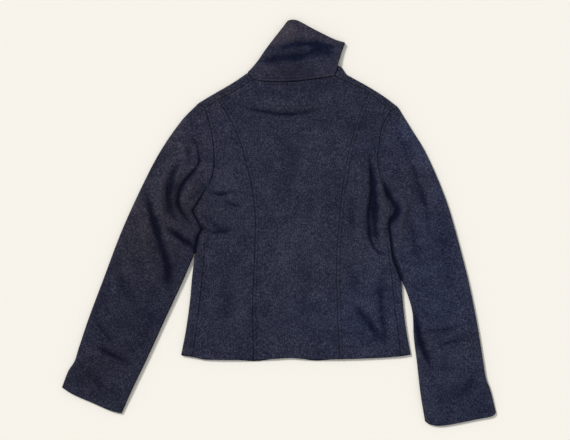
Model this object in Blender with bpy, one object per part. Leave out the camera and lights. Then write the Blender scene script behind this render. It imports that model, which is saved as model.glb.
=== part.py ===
# A cropped wool jacket laid flat on its fronts, with its back up and its collar turned up.
#
# Metres, +Z up. +Y runs from the hem to the collar and +X towards the wearer's right.
# The origin is on the floor, under the middle of the laid garment.
#
# The body and each sleeve are flattened tubes of cloth. Their lower layer lies on the floor, the
# upper layer lies on it, and the two join round soft folds at the sides, the shoulders and the
# sleeve edges. The side and shoulder seams lie just inside those folds, on the back.

import math

import bmesh
import bpy
import numpy as np

# Driving sizes.
HEM_WIDTH = 0.471          # across the back hem, fold to fold
CLOTH = 0.0026             # melton and its lining, as one wall
COLLAR_CLOTH = 0.0040      # the collar is cut double
SEAM_GAP = 0.0003          # between two pieces at a seam
FOLD_GAP = 0.0005          # between the sleeve's fold and the body's, where they touch

# Heights of the laid stack, floor to upper face.
BODY_STACK = 0.0078        # at a fold
BODY_PUFF = 0.0026         # more, well inside the folds
OPEN_STACK = 0.0058        # at the hem and the cuffs, where the layers lie closest
COLLAR_STACK = 0.0096
COLLAR_PUFF = 0.0024
COLLAR_OPEN_STACK = 0.0086
PUFF_REACH = 0.040
OPEN_REACH = 0.030
LEAST_AIR = 0.0004         # between the layers in the deepest crease

# The garment as it lies is read off in steps of PIXEL, x to the right and y down.
HEM_STEPS = 229.8
PIXEL = HEM_WIDTH / HEM_STEPS
MIDDLE = (278.9, 222.8)

# How finely each stretch is divided.
ARMHOLE_ROWS = 11
FOLD_STEPS = 6
NECK_COLUMNS = 6
SHOULDER_COLUMNS = 4
SIDE_COLUMNS = 6
FRONT_NECK_COLUMNS = 4
COLLAR_ROWS = 8
VENT_ROWS = 2
CURVE_SAMPLES = 24

WOOL = (0.025, 0.027, 0.046, 1.0)
COLLAR_WOOL = (0.029, 0.029, 0.046, 1.0)
WOOL_ROUGHNESS = 0.95

# Each side's folds and seams, as short runs of (x, y) readings from the lower end to the upper.
#   side_fold       hem corner to the crotch between body and sleeve
#   shared_fold     crotch to underarm, where body and sleeve lie edge to edge
#   side_seam       hem to the armhole
#   armhole         underarm to the shoulder seam
#   shoulder_seam   armhole to the neck
#   shoulder_fold   neck to the shoulder tip
#   princess        hem to the shoulder seam
#   sleeve_outer    cuff to the shoulder tip
#   sleeve_inner    cuff to the crotch
#   cuff            outer corner to inner corner
#   front_edge      hem to neck, at the centre front
#   front_neck      centre front to the neck point on the fold
#   collar_fold     neck point to the collar's upper corner
#   rows            how many rows of the body reach from the hem to the crotch and on to the underarm
#   sleeve_rows     the same for the sleeve, from the vent
#   vent            share of the sleeve's length below the top of the vent
LEFT = {
    "side_fold": ((181.0, 355.3), (185.8, 330), (189.6, 303), (192.0, 277), (195.0, 252.5)),
    "shared_fold": ((195.0, 252.5), (196.2, 245), (198.2, 236), (201.4, 230)),
    "side_seam": ((192.2, 357.2), (196.0, 331), (199.6, 303), (202.2, 277), (204.2, 253), (204.8, 230.4)),
    "armhole": ((201.4, 230), (199.6, 224), (195.4, 217.5), (193.4, 211), (197.4, 203), (204, 192),
                (210, 182), (213.6, 170), (214.0, 155), (211.6, 133), (205.3, 108.4)),
    "shoulder_seam": ((205.3, 108.4), (218.3, 99.6), (234, 91), (254, 79.4)),
    "shoulder_fold": ((247.6, 72.6), (234, 82), (217, 92), (206, 98.4), (198.4, 103.2)),
    "princess": ((253.6, 359.6), (253.0, 325), (253.0, 300), (254.8, 253), (255.6, 220), (252, 187),
                 (246.4, 163), (239.6, 140), (231, 121), (218.3, 99.6)),
    "sleeve_outer": ((61.7, 387.6), (68.0, 371.4), (74.4, 361.2), (78, 350), (88, 320), (103, 280),
                     (122, 230), (145, 180), (161, 150), (182, 120), (198.4, 103.2)),
    "sleeve_inner": ((121.6, 413.6), (131.0, 392), (148, 356.5), (162.4, 325), (172.6, 303), (182.8, 281),
                     (195.0, 252.5)),
    "cuff": ((61.7, 387.6), (71.4, 393.8), (91, 402.4), (111, 411), (121.6, 413.6)),
    "front_edge": ((284, 360.4), (287.4, 107.8)),
    "front_neck": ((287.4, 107.8), (270, 104), (255, 92), (247.6, 72.6)),
    "collar_fold": ((247.6, 72.6), (257, 61.6), (265, 50), (273, 39.4), (284.4, 25)),
    "rows": (11, 4),
    "sleeve_rows": (13, 4),
    "vent": 0.092,
}
RIGHT = {
    "side_fold": ((411.0, 354.8), (406.6, 332), (403.0, 303), (401.4, 280)),
    "shared_fold": ((401.4, 280), (397.8, 270), (394.0, 260), (392.0, 248), (390.8, 238), (389.2, 229)),
    "side_seam": ((401.0, 356.4), (397.4, 325), (393.6, 298), (391.6, 275), (388.8, 253), (385.6, 229.4)),
    "armhole": ((389.2, 229), (390.0, 220), (390.0, 210), (387.6, 198), (383.6, 187), (379.4, 174),
                (377.8, 160), (379, 144), (382.4, 126), (390.8, 111)),
    "shoulder_seam": ((390.8, 111), (369, 92.4), (351, 83.4), (334.2, 75.8)),
    "shoulder_fold": ((338, 65.4), (341.4, 67.0), (344.0, 70.6), (346.2, 74.0), (350.5, 76.6),
                      (369.5, 87.2), (385, 97), (397.6, 106.6)),
    "princess": ((340, 359.4), (338.2, 325), (336.9, 290), (336.9, 253), (339.2, 222), (343.8, 180),
                 (350.2, 147), (358.4, 119), (369, 92.4)),
    "sleeve_outer": ((496.2, 413), (490.4, 390), (486.2, 378.6), (483.4, 362), (479, 334), (472.6, 300),
                     (465.6, 269), (449.4, 210), (438.2, 180), (424.4, 150), (412.2, 130), (397.6, 106.6)),
    "sleeve_inner": ((425.2, 421.6), (420.6, 394), (417, 362), (413.9, 337), (412.6, 313), (407.4, 294),
                     (401.4, 280)),
    "cuff": ((496.2, 413), (493.2, 416.2), (477.5, 419.4), (454.5, 424), (440, 426), (430, 424.6),
             (425.2, 421.6)),
    "front_edge": ((296.4, 360.4), (291.6, 107.8)),
    "front_neck": ((291.6, 107.8), (309, 104), (327, 91), (338, 65.4)),
    "collar_fold": ((338, 65.4), (341.2, 54), (345.4, 42.6)),
    "rows": (7, 8),
    "sleeve_rows": (10, 8),
    "vent": 0.104,
}
BACK_HEM = ((181.0, 355.3), (194, 357.5), (206, 359.6), (243, 360.2), (273, 359.2), (290, 358.2),
            (308, 359.3), (340, 359.4), (375, 358.2), (401, 356.4), (411.0, 354.8))
NECK_SEAM = ((254, 79.4), (262, 81.2), (284, 81.8), (304, 80.4), (329, 77), (334.2, 75.8))
COLLAR_TOP = ((284.4, 25), (287.4, 21), (292.6, 19.6), (298.4, 20.8), (313, 28.6), (335, 39.4), (345.4, 42.6))
COLLAR_FRONT_STEPS = 58    # height of the collar at the centre front, in steps of PIXEL
FRONT_HEM_DROP = 1.4       # how far the front hem shows past the back hem

# The main folds of the upper layer. A rise above 0 is a ridge and below 0 a trough.
FOLD_COLUMNS = ("name", "start", "middle", "end", "half_width", "rise")
FOLDS = (
    ("ridge_over_front_neck", (244, 97), (288, 104), (338, 96), 0.017, 0.0018),
    ("trough_under_front_neck", (240, 104), (287, 116), (342, 106), 0.011, -0.0019),
    ("left_armpit_trough", (199, 171), (177, 196), (196, 224), 0.010, -0.0032),
    ("left_armpit_ridge", (190, 166), (168, 196), (187, 230), 0.013, 0.0032),
    ("left_armpit_outer_trough", (176, 176), (160, 202), (180, 236), 0.012, -0.0019),
    ("left_underarm_ridge", (200, 214), (188, 235), (180, 262), 0.013, 0.0027),
    ("left_sleeve_trough", (144, 196), (154, 232), (172, 280), 0.015, -0.0022),
    ("left_sleeve_ridge", (132, 210), (136, 250), (146, 300), 0.018, 0.0019),
    ("left_elbow_trough", (96, 343), (112, 354), (132, 362), 0.012, -0.0019),
    ("left_elbow_ridge", (92, 356), (108, 368), (122, 378), 0.014, 0.0016),
    ("left_panel_trough", (209, 214), (226, 221), (246, 214), 0.012, -0.0016),
    ("left_panel_ridge", (212, 203), (230, 210), (248, 203), 0.013, 0.0015),
    ("right_back_trough", (369, 156), (371, 208), (377, 252), 0.010, -0.0035),
    ("right_back_ridge", (380, 160), (386, 205), (386, 250), 0.012, 0.0030),
    ("right_back_inner_ridge", (356, 160), (358, 208), (362, 262), 0.014, 0.0019),
    ("right_underarm_trough", (385, 186), (397, 209), (389, 228), 0.008, -0.0035),
    ("right_sleeve_fold_ridge", (392, 184), (406, 208), (400, 244), 0.013, 0.0035),
    ("right_sleeve_trough", (400, 136), (420, 176), (428, 220), 0.016, -0.0024),
    ("right_sleeve_ridge", (412, 136), (434, 180), (444, 230), 0.018, 0.0019),
    ("right_cuff_trough", (417, 318), (423, 350), (432, 376), 0.012, -0.0020),
    ("right_elbow_trough", (436, 345), (455, 341), (476, 342), 0.013, -0.0016),
    ("right_elbow_ridge", (438, 334), (458, 331), (476, 331), 0.014, 0.0015),
    ("right_hem_trough", (380, 290), (372, 320), (362, 346), 0.018, -0.0014),
)
COLLAR_FOLDS = (
    ("collar_trough", (264, 60), (297, 53), (334, 48), 0.011, -0.0027),
    ("collar_upper_ridge", (276, 42), (302, 36), (334, 41), 0.015, 0.0016),
    ("collar_stand_ridge", (258, 72), (292, 71), (332, 64), 0.013, 0.0016),
)


# Curves and patches in plan


def place(readings):
    x_and_y = np.array(readings, dtype=float) - MIDDLE
    return x_and_y * (PIXEL, -PIXEL)


def smooth(points):
    # A curve that passes through every point and turns evenly between them.
    padded = np.vstack([2 * points[0] - points[1], points, 2 * points[-1] - points[-2]])
    t = np.linspace(0, 1, CURVE_SAMPLES, endpoint=False)[:, None]
    runs = []
    for a, b, c, d in zip(padded, padded[1:], padded[2:], padded[3:]):
        reach = np.linalg.norm(c - b)
        start = (c - a) / max(np.linalg.norm(c - a), 1e-9) * reach
        end = (d - b) / max(np.linalg.norm(d - b), 1e-9) * reach
        runs.append((2 * t**3 - 3 * t**2 + 1) * b + (t**3 - 2 * t**2 + t) * start
                    + (3 * t**2 - 2 * t**3) * c + (t**3 - t**2) * end)
    return np.vstack(runs + [points[-1:]])


def along(curve, shares):
    # The points of a curve at these shares of its length.
    steps = np.linalg.norm(np.diff(curve, axis=0), axis=1)
    travelled = np.concatenate([[0], np.cumsum(steps)])
    wanted = np.asarray(shares) * travelled[-1]
    return np.stack([np.interp(wanted, travelled, curve[:, axis]) for axis in range(2)], axis=1)


def even(count):
    return np.linspace(0, 1, count + 1)


def join(*runs):
    # End to end, each run leaving out the point that it shares with the run before.
    return np.vstack([runs[0]] + [run[1:] for run in runs[1:]])


def coons(lower, upper, left, right, shares=None):
    # A patch of rows and columns between four edges that share their corners.
    u = np.linspace(0, 1, len(lower))[None, :, None]
    v = (np.linspace(0, 1, len(left)) if shares is None else shares)[:, None, None]
    across = (1 - v) * lower + v * upper
    upward = (1 - u) * left[:, None] + u * right[:, None]
    corners = ((1 - u) * (1 - v) * lower[0] + u * (1 - v) * lower[-1]
               + (1 - u) * v * upper[0] + u * v * upper[-1])
    return across + upward - corners


def unit(vectors):
    return vectors / np.linalg.norm(vectors, axis=-1, keepdims=True)


def distance_to(plan, curve):
    gaps = plan.reshape(-1, 1, 2) - curve[None]
    return np.sqrt((gaps**2).sum(-1).min(1)).reshape(plan.shape[:-1])


def hem_between(x_start, x_end, count, drop=0.0):
    # The hem's line between two x readings. It drops by up to this much, least at the ends.
    x = np.linspace(x_start, x_end, count + 1)
    hem = smooth(np.array(BACK_HEM, dtype=float))
    y = np.interp(x, hem[:, 0], hem[:, 1])
    left_end, right_end = BACK_HEM[0][0], BACK_HEM[-1][0]
    from_corner = np.minimum(x - left_end, right_end - x)
    return place(np.stack([x, y + drop * np.clip(from_corner / 20, 0, 1)], axis=1))


# Each side's curves, divided so that neighbours share their points


def side_curves(side):
    curve = {name: smooth(place(side[name])) for name in side if name not in ("rows", "sleeve_rows", "vent")}
    hem_rows, shared_rows = side["rows"]
    near_underarm = even(ARMHOLE_ROWS) ** 1.3
    made = dict(curve)
    made["armhole"] = along(curve["armhole"], near_underarm)
    made["shared_fold"] = along(curve["shared_fold"], even(shared_rows))
    made["side_fold"] = join(along(curve["side_fold"], even(hem_rows)), made["shared_fold"])
    made["side_seam"] = along(curve["side_seam"], even(hem_rows + shared_rows))
    made["princess"] = along(curve["princess"], even(hem_rows + shared_rows + ARMHOLE_ROWS))
    made["tip"] = curve["shoulder_fold"][-1:]
    made["tip_to_underarm"] = np.vstack([made["tip"], made["armhole"][::-1]])
    made["neck_point"] = curve["shoulder_fold"][0]
    shares = shoulder_shares(curve["shoulder_seam"], made["princess"][-1])
    made["shoulder_seam"] = along(curve["shoulder_seam"], shares)
    made["shoulder_fold"] = along(curve["shoulder_fold"], 1 - shares)
    made["dense"] = curve
    return made


def shoulder_shares(seam, princess_top):
    # From the armhole to the princess seam in even steps, then closer and closer to the neck.
    lengths = np.concatenate([[0], np.cumsum(np.linalg.norm(np.diff(seam, axis=0), axis=1))])
    meeting = lengths[np.linalg.norm(seam - princess_top, axis=1).argmin()] / lengths[-1]
    to_neck = 1 - (1 - even(SHOULDER_COLUMNS)) ** 1.6
    return np.concatenate([even(SIDE_COLUMNS) * meeting, (meeting + to_neck * (1 - meeting))[1:]])


def fold_edges(sides):
    # Every line that the cloth folds round, for the height of the upper layer.
    names = ("side_fold", "shared_fold", "shoulder_fold", "sleeve_outer", "sleeve_inner")
    return np.vstack([side["dense"][name][::4] for side in sides for name in names])


def fold_relief(plan, folds):
    total = np.zeros(plan.shape[:-1])
    for fold in folds:
        row = dict(zip(FOLD_COLUMNS, fold))
        start, middle, end = place((row["start"], row["middle"], row["end"]))
        control = 2 * middle - (start + end) / 2
        t = np.linspace(0, 1, 33)[:, None]
        line = (1 - t) ** 2 * start + 2 * t * (1 - t) * control + t**2 * end
        gaps = np.sqrt(((plan.reshape(-1, 1, 2) - line[None]) ** 2).sum(-1))
        nearest = gaps.argmin(1)
        fade = np.sin(math.pi * np.clip(t[nearest, 0], 0.04, 0.96)) ** 0.6
        shape = np.exp(-((gaps.min(1) / row["half_width"]) ** 2)) * fade
        total += (row["rise"] * shape).reshape(plan.shape[:-1])
    return total


def soft_least(values, least, softness=0.0004):
    # Never under the least height, with no kink where it takes over.
    return least + softness * np.logaddexp(0, (values - least) / softness)


class Lay:
    # The height of an upper layer's face over any point of the plan.

    def __init__(self, folded, opened, stack, puff, open_stack, cloth, folds):
        self.folded, self.opened = folded, opened
        self.stack, self.puff, self.open_stack = stack, puff, open_stack
        self.cloth, self.folds = cloth, folds

    def height(self, plan):
        inside = 1 - np.exp(-((distance_to(plan, self.folded) / PUFF_REACH) ** 2))
        from_opening = 1 - np.exp(-((distance_to(plan, self.opened) / OPEN_REACH) ** 2))
        full = self.stack + self.puff * inside + fold_relief(plan, self.folds)
        full = soft_least(full, 2 * self.cloth + LEAST_AIR)
        return self.open_stack + (full - self.open_stack) * from_opening


# Walls of cloth


def sheet(plan, height):
    return np.concatenate([plan, np.broadcast_to(height, plan.shape[:-1])[..., None]], axis=-1)


def fold(edge, toward, radius, height, angles, inset, gap=0.0):
    # The wall as it turns over, at each edge point: 0 is on the floor, pi on the upper face.
    angles = np.asarray(angles)[None, :]
    reach = gap + radius - (radius - inset) * np.sin(angles)
    plan = edge[:, None] + toward[:, None] * reach[..., None]
    z = height[:, None] / 2 - (height[:, None] / 2 - inset) * np.cos(angles)
    return sheet(plan, z)


def pull_in(outer, inner, quads, by):
    # Each border moves into its own piece, so that neighbours stand clear at the seam.
    count = {}
    for quad in quads:
        for a, b in zip(quad, quad[1:] + quad[:1]):
            count.setdefault(frozenset((a, b)), []).append((a, b, quad))
    border = [found[0] for found in count.values() if len(found) == 1]
    inward = {}
    for a, b, quad in border:
        edge = unit(outer[b] - outer[a])
        to_middle = outer[list(quad)].mean(0) - (outer[a] + outer[b]) / 2
        direction = unit(to_middle - edge * to_middle.dot(edge))
        inward.setdefault(a, []).append(direction)
        inward.setdefault(b, []).append(direction)
    for vertex, directions in inward.items():
        spread = 1 + directions[0].dot(directions[-1])
        shift = by * sum(directions) / max(spread, 0.6)
        outer[vertex] += shift
        inner[vertex] += shift
    return [(a, b) for a, b, _ in border]


def wall(name, outer, inner, colour, cells=None):
    # A closed wall between two grids of points. Cells says which of the grid's squares are cloth.
    rows, columns = outer.shape[:2]
    number = np.arange(rows * columns).reshape(rows, columns)
    quads = [
        (int(number[i, j]), int(number[i, j + 1]), int(number[i + 1, j + 1]), int(number[i + 1, j]))
        for i in range(rows - 1) for j in range(columns - 1) if cells is None or cells[i, j]
    ]
    outer, inner = outer.reshape(-1, 3).copy(), inner.reshape(-1, 3).copy()
    border = pull_in(outer, inner, quads, SEAM_GAP / 2)
    outer[:, 2] = np.maximum(outer[:, 2], 0.0)
    made = bmesh.new()
    used = sorted({vertex for quad in quads for vertex in quad})
    face_side = {vertex: made.verts.new(outer[vertex]) for vertex in used}
    inside = {vertex: made.verts.new(inner[vertex]) for vertex in used}
    for quad in quads:
        made.faces.new([face_side[vertex] for vertex in quad])
        made.faces.new([inside[vertex] for vertex in reversed(quad)])
    for a, b in border:
        made.faces.new((face_side[b], face_side[a], inside[a], inside[b]))
    bmesh.ops.recalc_face_normals(made, faces=made.faces)
    mesh = bpy.data.meshes.new(name)
    made.to_mesh(mesh)
    made.free()
    mesh.shade_smooth()
    mesh.set_sharp_from_angle(angle=math.radians(50))
    piece = bpy.data.objects.new(name, mesh)
    bpy.context.scene.collection.objects.link(piece)
    mesh.materials.append(cloth_material(name + "_cloth", colour))
    return piece


def cloth_material(name, colour):
    material = bpy.data.materials.new(name)
    material.use_nodes = True
    shader = material.node_tree.nodes["Principled BSDF"]
    shader.inputs["Base Color"].default_value = colour
    shader.inputs["Roughness"].default_value = WOOL_ROUGHNESS
    shader.inputs["Metallic"].default_value = 0.0
    return material


def upper_wall(name, plan, lay):
    height = lay.height(plan)
    return wall(name, sheet(plan, height), sheet(plan, height - CLOTH), WOOL)


# The cut pieces


def make_back_centre(left, right, lay):
    shoulder = [side["shoulder_seam"][SIDE_COLUMNS:] for side in (left, right)]
    neck = along(smooth(place(NECK_SEAM)), even(NECK_COLUMNS))
    upper = join(shoulder[0], neck, shoulder[1][::-1])
    lower = hem_between(LEFT["princess"][0][0], RIGHT["princess"][0][0], len(upper) - 1)
    plan = coons(lower, upper, join_ends(left["princess"], lower[0], upper[0]),
                 join_ends(right["princess"], lower[-1], upper[-1]))
    return upper_wall("back_centre", plan, lay)


def join_ends(curve, start, end):
    # The same curve, its ends set exactly on two given points.
    moved = curve.copy()
    moved[0], moved[-1] = start, end
    return moved


def make_back_side(name, readings, side, lay):
    shoulder = side["shoulder_seam"][:SIDE_COLUMNS + 1]
    outer_edge = join(side["side_seam"], join_ends(side["armhole"], side["side_seam"][-1], shoulder[0]))
    hem = hem_between(readings["side_seam"][0][0], readings["princess"][0][0], SIDE_COLUMNS)
    plan = coons(hem, shoulder, join_ends(outer_edge, hem[0], shoulder[0]),
                 join_ends(side["princess"], hem[-1], shoulder[-1]))
    return upper_wall(name, plan, lay)


def make_front(name, readings, side, lay):
    # The front lies on the floor and turns over the side and the shoulder onto the back.
    neck = along(side["dense"]["front_neck"], even(FRONT_NECK_COLUMNS))
    shoulder, seam = side["shoulder_fold"][::-1], side["shoulder_seam"][::-1]
    upper = join(neck, shoulder)
    hem_x = readings["front_edge"][0][0], readings["side_fold"][0][0]
    hem = hem_between(*hem_x, len(upper) - 1, FRONT_HEM_DROP)
    outer_edge = join(side["side_fold"], join_ends(side["armhole"], side["shared_fold"][-1],
                                                   side["dense"]["armhole"][-1]), side["tip"].repeat(2, 0))
    rows = len(outer_edge) - 1
    inner_edge = join_ends(along(side["dense"]["front_edge"], even(rows)), hem[0], upper[0])
    plan = coons(hem, upper, inner_edge, join_ends(outer_edge, hem[-1], upper[-1]))
    columns = plan.shape[1] - 1

    side_rows = len(side["side_fold"])
    across = unit(side["side_seam"] - plan[:side_rows, -1])
    over = unit(seam - shoulder)
    radius = BODY_STACK / 2
    side_height = lay.height(plan[:side_rows, -1] + across * radius)
    over_height = lay.height(shoulder + over * radius)
    angles = np.linspace(0, math.pi, FOLD_STEPS + 1)
    faces = []
    for inset in (0.0, CLOTH):
        grid = np.zeros((rows + FOLD_STEPS + 2, columns + FOLD_STEPS + 2, 3))
        grid[:rows + 1, :columns + 1] = sheet(plan, inset)
        grid[:side_rows, columns:-1] = fold(plan[:side_rows, -1], across, radius, side_height, angles, inset)
        grid[:side_rows, -1] = sheet(side["side_seam"], lay.height(side["side_seam"]) - inset)
        turned = fold(shoulder, over, radius, over_height, angles, inset).transpose(1, 0, 2)
        grid[rows:-1, FRONT_NECK_COLUMNS:columns + 1] = turned
        grid[-1, FRONT_NECK_COLUMNS:columns + 1] = sheet(seam, lay.height(seam) - inset)
        faces.append(grid)
    cells = np.zeros((rows + FOLD_STEPS + 1, columns + FOLD_STEPS + 1), dtype=bool)
    cells[:rows, :columns] = True
    cells[:side_rows - 1, columns:] = True
    cells[rows:, FRONT_NECK_COLUMNS:columns] = True
    return wall(name, faces[0], faces[1], WOOL, cells)


def sleeve_plan(side, readings):
    # Rows run from the cuff to the armhole, columns from the outer fold to the inner fold.
    inner_curve = side["dense"]["sleeve_inner"]
    inner_length, shared_length = (np.linalg.norm(np.diff(curve, axis=0), axis=1).sum()
                                   for curve in (inner_curve, side["dense"]["shared_fold"]))
    crotch = inner_length / (inner_length + shared_length)
    free_rows, shared_rows = readings["sleeve_rows"]
    vent = np.linspace(0, readings["vent"], VENT_ROWS + 1)
    free = np.linspace(readings["vent"], crotch, free_rows + 1)[1:]
    shared = np.linspace(crotch, 1, shared_rows + 1)[1:]
    shares = np.concatenate([vent, free, shared])
    outer_edge = along(side["dense"]["sleeve_outer"], shares)
    inner_edge = join(along(inner_curve, np.concatenate([vent, free]) / crotch), side["shared_fold"])
    upper = side["tip_to_underarm"]
    lower = along(side["dense"]["cuff"], even(len(upper) - 1))
    return coons(lower, upper, join_ends(outer_edge, lower[0], upper[0]),
                 join_ends(inner_edge, lower[-1], upper[-1]), shares)


def make_sleeve(name, side, readings, lay):
    # Two pieces, seamed along the middle of both folds: one on the floor and one over it.
    plan = sleeve_plan(side, readings)
    radius = BODY_STACK / 2
    outward = [(plan[:, 0], unit(plan[:, 1] - plan[:, 0])), (plan[:, -1], unit(plan[:, -2] - plan[:, -1]))]
    upper_heights = [lay.height(edge + toward * radius) for edge, toward in outward]
    middle = plan[:, 1:-1]
    pieces = []
    for suffix, floor_side in (("_front", True), ("_back", False)):
        start, end = (math.pi / 2, 0.0) if floor_side else (math.pi / 2, math.pi)
        angles = np.linspace(start, end, FOLD_STEPS // 2 + 1)
        faces = []
        for inset in (0.0, CLOTH):
            level = inset if floor_side else lay.height(middle) - inset
            turned = [fold(edge, toward, radius, height, angles, inset, FOLD_GAP)
                      for (edge, toward), height in zip(outward, upper_heights)]
            faces.append(np.concatenate([turned[0], sheet(middle, level), turned[1][:, ::-1]], axis=1))
        pieces.append(wall(name + suffix, faces[0], faces[1], WOOL))
    return pieces


def make_collar(left, right, lay):
    # One wall round the neck, from centre front under the left fold, over the back and under again.
    neck_seam = along(smooth(place(NECK_SEAM)), even(NECK_COLUMNS))
    lower = np.vstack([left["neck_point"], neck_seam, right["neck_point"]])
    upper = along(smooth(place(COLLAR_TOP)), even(len(lower) - 1))
    edges = [along(side["dense"]["collar_fold"], even(COLLAR_ROWS)) for side in (left, right)]
    top = coons(lower, upper, join_ends(edges[0], lower[0], upper[0]), join_ends(edges[1], lower[-1], upper[-1]))
    unders = [under_collar(side, top[:, column], edge)
              for side, column, edge in ((left, 0, edges[0]), (right, -1, edges[1]))]
    radius = COLLAR_STACK / 2
    turns = [(top[:, 0], unit(top[:, 1] - top[:, 0])), (top[:, -1], unit(top[:, -2] - top[:, -1]))]
    heights = [lay.height(edge + toward * radius) for edge, toward in turns]
    angles = np.linspace(0, math.pi, FOLD_STEPS + 1)
    faces = []
    for inset in (0.0, COLLAR_CLOTH):
        rounds = [fold(edge, toward, radius, height, angles, inset)
                  for (edge, toward), height in zip(turns, heights)]
        faces.append(np.concatenate([
            sheet(unders[0][:, :-1], inset),
            rounds[0],
            sheet(top[:, 1:-1], lay.height(top[:, 1:-1]) - inset),
            rounds[1][:, ::-1],
            sheet(unders[1][:, :-1], inset)[:, ::-1],
        ], axis=1))
    return wall("collar", faces[0], faces[1], COLLAR_WOOL)


def under_collar(side, corner_edge, fold_edge):
    # The half of the collar that lies on the floor, from the centre front to the fold.
    lower = along(side["dense"]["front_neck"], even(FRONT_NECK_COLUMNS))
    front_top = lower[0] + (0, COLLAR_FRONT_STEPS * PIXEL)
    upper = np.linspace(front_top, corner_edge[-1], FRONT_NECK_COLUMNS + 1)
    front_edge = np.linspace(lower[0], front_top, COLLAR_ROWS + 1)
    return coons(lower, upper, front_edge, join_ends(fold_edge, lower[-1], upper[-1]))


def centre_on_floor(pieces):
    points = np.array([vertex.co for piece in pieces for vertex in piece.data.vertices])
    low, high = points.min(0), points.max(0)
    shift = np.array([-(low[0] + high[0]) / 2, -(low[1] + high[1]) / 2, -low[2]])
    for piece in pieces:
        for vertex in piece.data.vertices:
            vertex.co = np.array(vertex.co) + shift
    print("moved to the origin by", shift.round(5))


def clear_scene():
    for old in list(bpy.data.objects):
        bpy.data.objects.remove(old, do_unlink=True)


def main():
    clear_scene()
    left, right = side_curves(LEFT), side_curves(RIGHT)
    folded = fold_edges((left, right))
    cuffs_and_hem = np.vstack([smooth(place(BACK_HEM)), left["dense"]["cuff"], right["dense"]["cuff"]])
    body = Lay(folded, cuffs_and_hem, BODY_STACK, BODY_PUFF, OPEN_STACK, CLOTH, FOLDS)
    collar_edges = np.vstack([left["dense"]["collar_fold"], right["dense"]["collar_fold"]])
    collar = Lay(collar_edges, smooth(place(COLLAR_TOP)), COLLAR_STACK, COLLAR_PUFF, COLLAR_OPEN_STACK,
                 COLLAR_CLOTH, COLLAR_FOLDS)
    pieces = [
        make_back_centre(left, right, body),
        make_back_side("back_side_left", LEFT, left, body),
        make_back_side("back_side_right", RIGHT, right, body),
        make_front("front_left", LEFT, left, body),
        make_front("front_right", RIGHT, right, body),
        *make_sleeve("sleeve_left", left, LEFT, body),
        *make_sleeve("sleeve_right", right, RIGHT, body),
        make_collar(left, right, collar),
    ]
    centre_on_floor(pieces)


main()
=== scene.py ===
import math

import bpy
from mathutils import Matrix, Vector
import numpy as np


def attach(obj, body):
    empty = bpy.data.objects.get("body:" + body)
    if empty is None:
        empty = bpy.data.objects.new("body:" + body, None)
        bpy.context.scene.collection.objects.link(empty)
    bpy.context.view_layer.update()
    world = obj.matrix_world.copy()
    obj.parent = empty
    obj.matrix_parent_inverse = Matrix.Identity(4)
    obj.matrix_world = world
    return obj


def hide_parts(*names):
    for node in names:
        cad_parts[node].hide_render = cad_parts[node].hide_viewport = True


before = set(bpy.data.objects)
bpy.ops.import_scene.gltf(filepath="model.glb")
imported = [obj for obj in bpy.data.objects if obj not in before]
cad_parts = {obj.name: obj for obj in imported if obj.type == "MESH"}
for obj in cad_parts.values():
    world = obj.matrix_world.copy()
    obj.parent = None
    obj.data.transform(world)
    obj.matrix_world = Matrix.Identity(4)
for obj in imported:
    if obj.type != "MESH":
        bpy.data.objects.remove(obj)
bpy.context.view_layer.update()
print("frame loaded")

# Sizes of the laid cloth, in metres.
laid = {
    "step": 0.471 / 229.8,        # one step of the readings below
    "middle": (278.9, 222.8),     # the reading over the origin
    "shift": (-0.00012, 0.00007),  # sets the middle of the outline on the origin
    "cloth": 0.0026,              # melton with its lining
    "collarCloth": 0.0040,        # the collar is cut double
    "seamGap": 0.0003,
    "foldGap": -0.0001,           # the sleeve's fold presses this far against the body's
    "stack": 0.0078,              # height of both layers at a fold
    "puff": 0.0026,               # how much higher the layers lie away from the folds
    "openStack": 0.0058,          # at the hem and the cuffs
    "collarStack": 0.0096,
    "collarPuff": 0.0024,
    "collarOpenStack": 0.0086,
    "puffReach": 0.040,
    "openReach": 0.030,
    "settleReach": 0.014,         # beside a fold the layer underneath keeps to the floor
    "leastAir": 0.0004,
    "uneven": ((0.00030, 0.085, 3), (0.00014, 0.030, 4)),  # height, wavelength and seed
    "collarFront": 58,            # steps up the centre front of the collar
    "collarTopFrom": 0.006,       # above this height the collar's face is its upper layer
}
# Sizes of the mesh, in metres, and how many steps a turn has.
mesh = {
    "cell": 0.0024,
    "floorCell": 0.0045,          # the layer underneath
    "collarCell": 0.0021,
    "borderSteps": (0.00035, 0.0007, 0.0011, 0.0016, 0.0023, 0.0032, 0.0042, 0.0052, 0.0060, 0.0068,
                    0.0078),
    "foldSteps": 14,              # round half a turn
    "collarSteps": 16,
    "seamTurn": (0, 0.05, 0.10, 0.17, 0.26),  # close steps beside a sleeve seam, in quarter turns
    "evenTurn": 0.36,             # where the even steps start
    "sleeveEdge": 0.062,          # share of a sleeve's width that each turn takes up
    "collarEdge": 0.075,
    "shoulderCell": 0.0030,
    "sideCell": 0.0034,
    "overLength": 0.017,          # the front's cloth between the fold and the seam
    "overCell": 0.0020,
    "curveSamples": 24,
}
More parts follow.
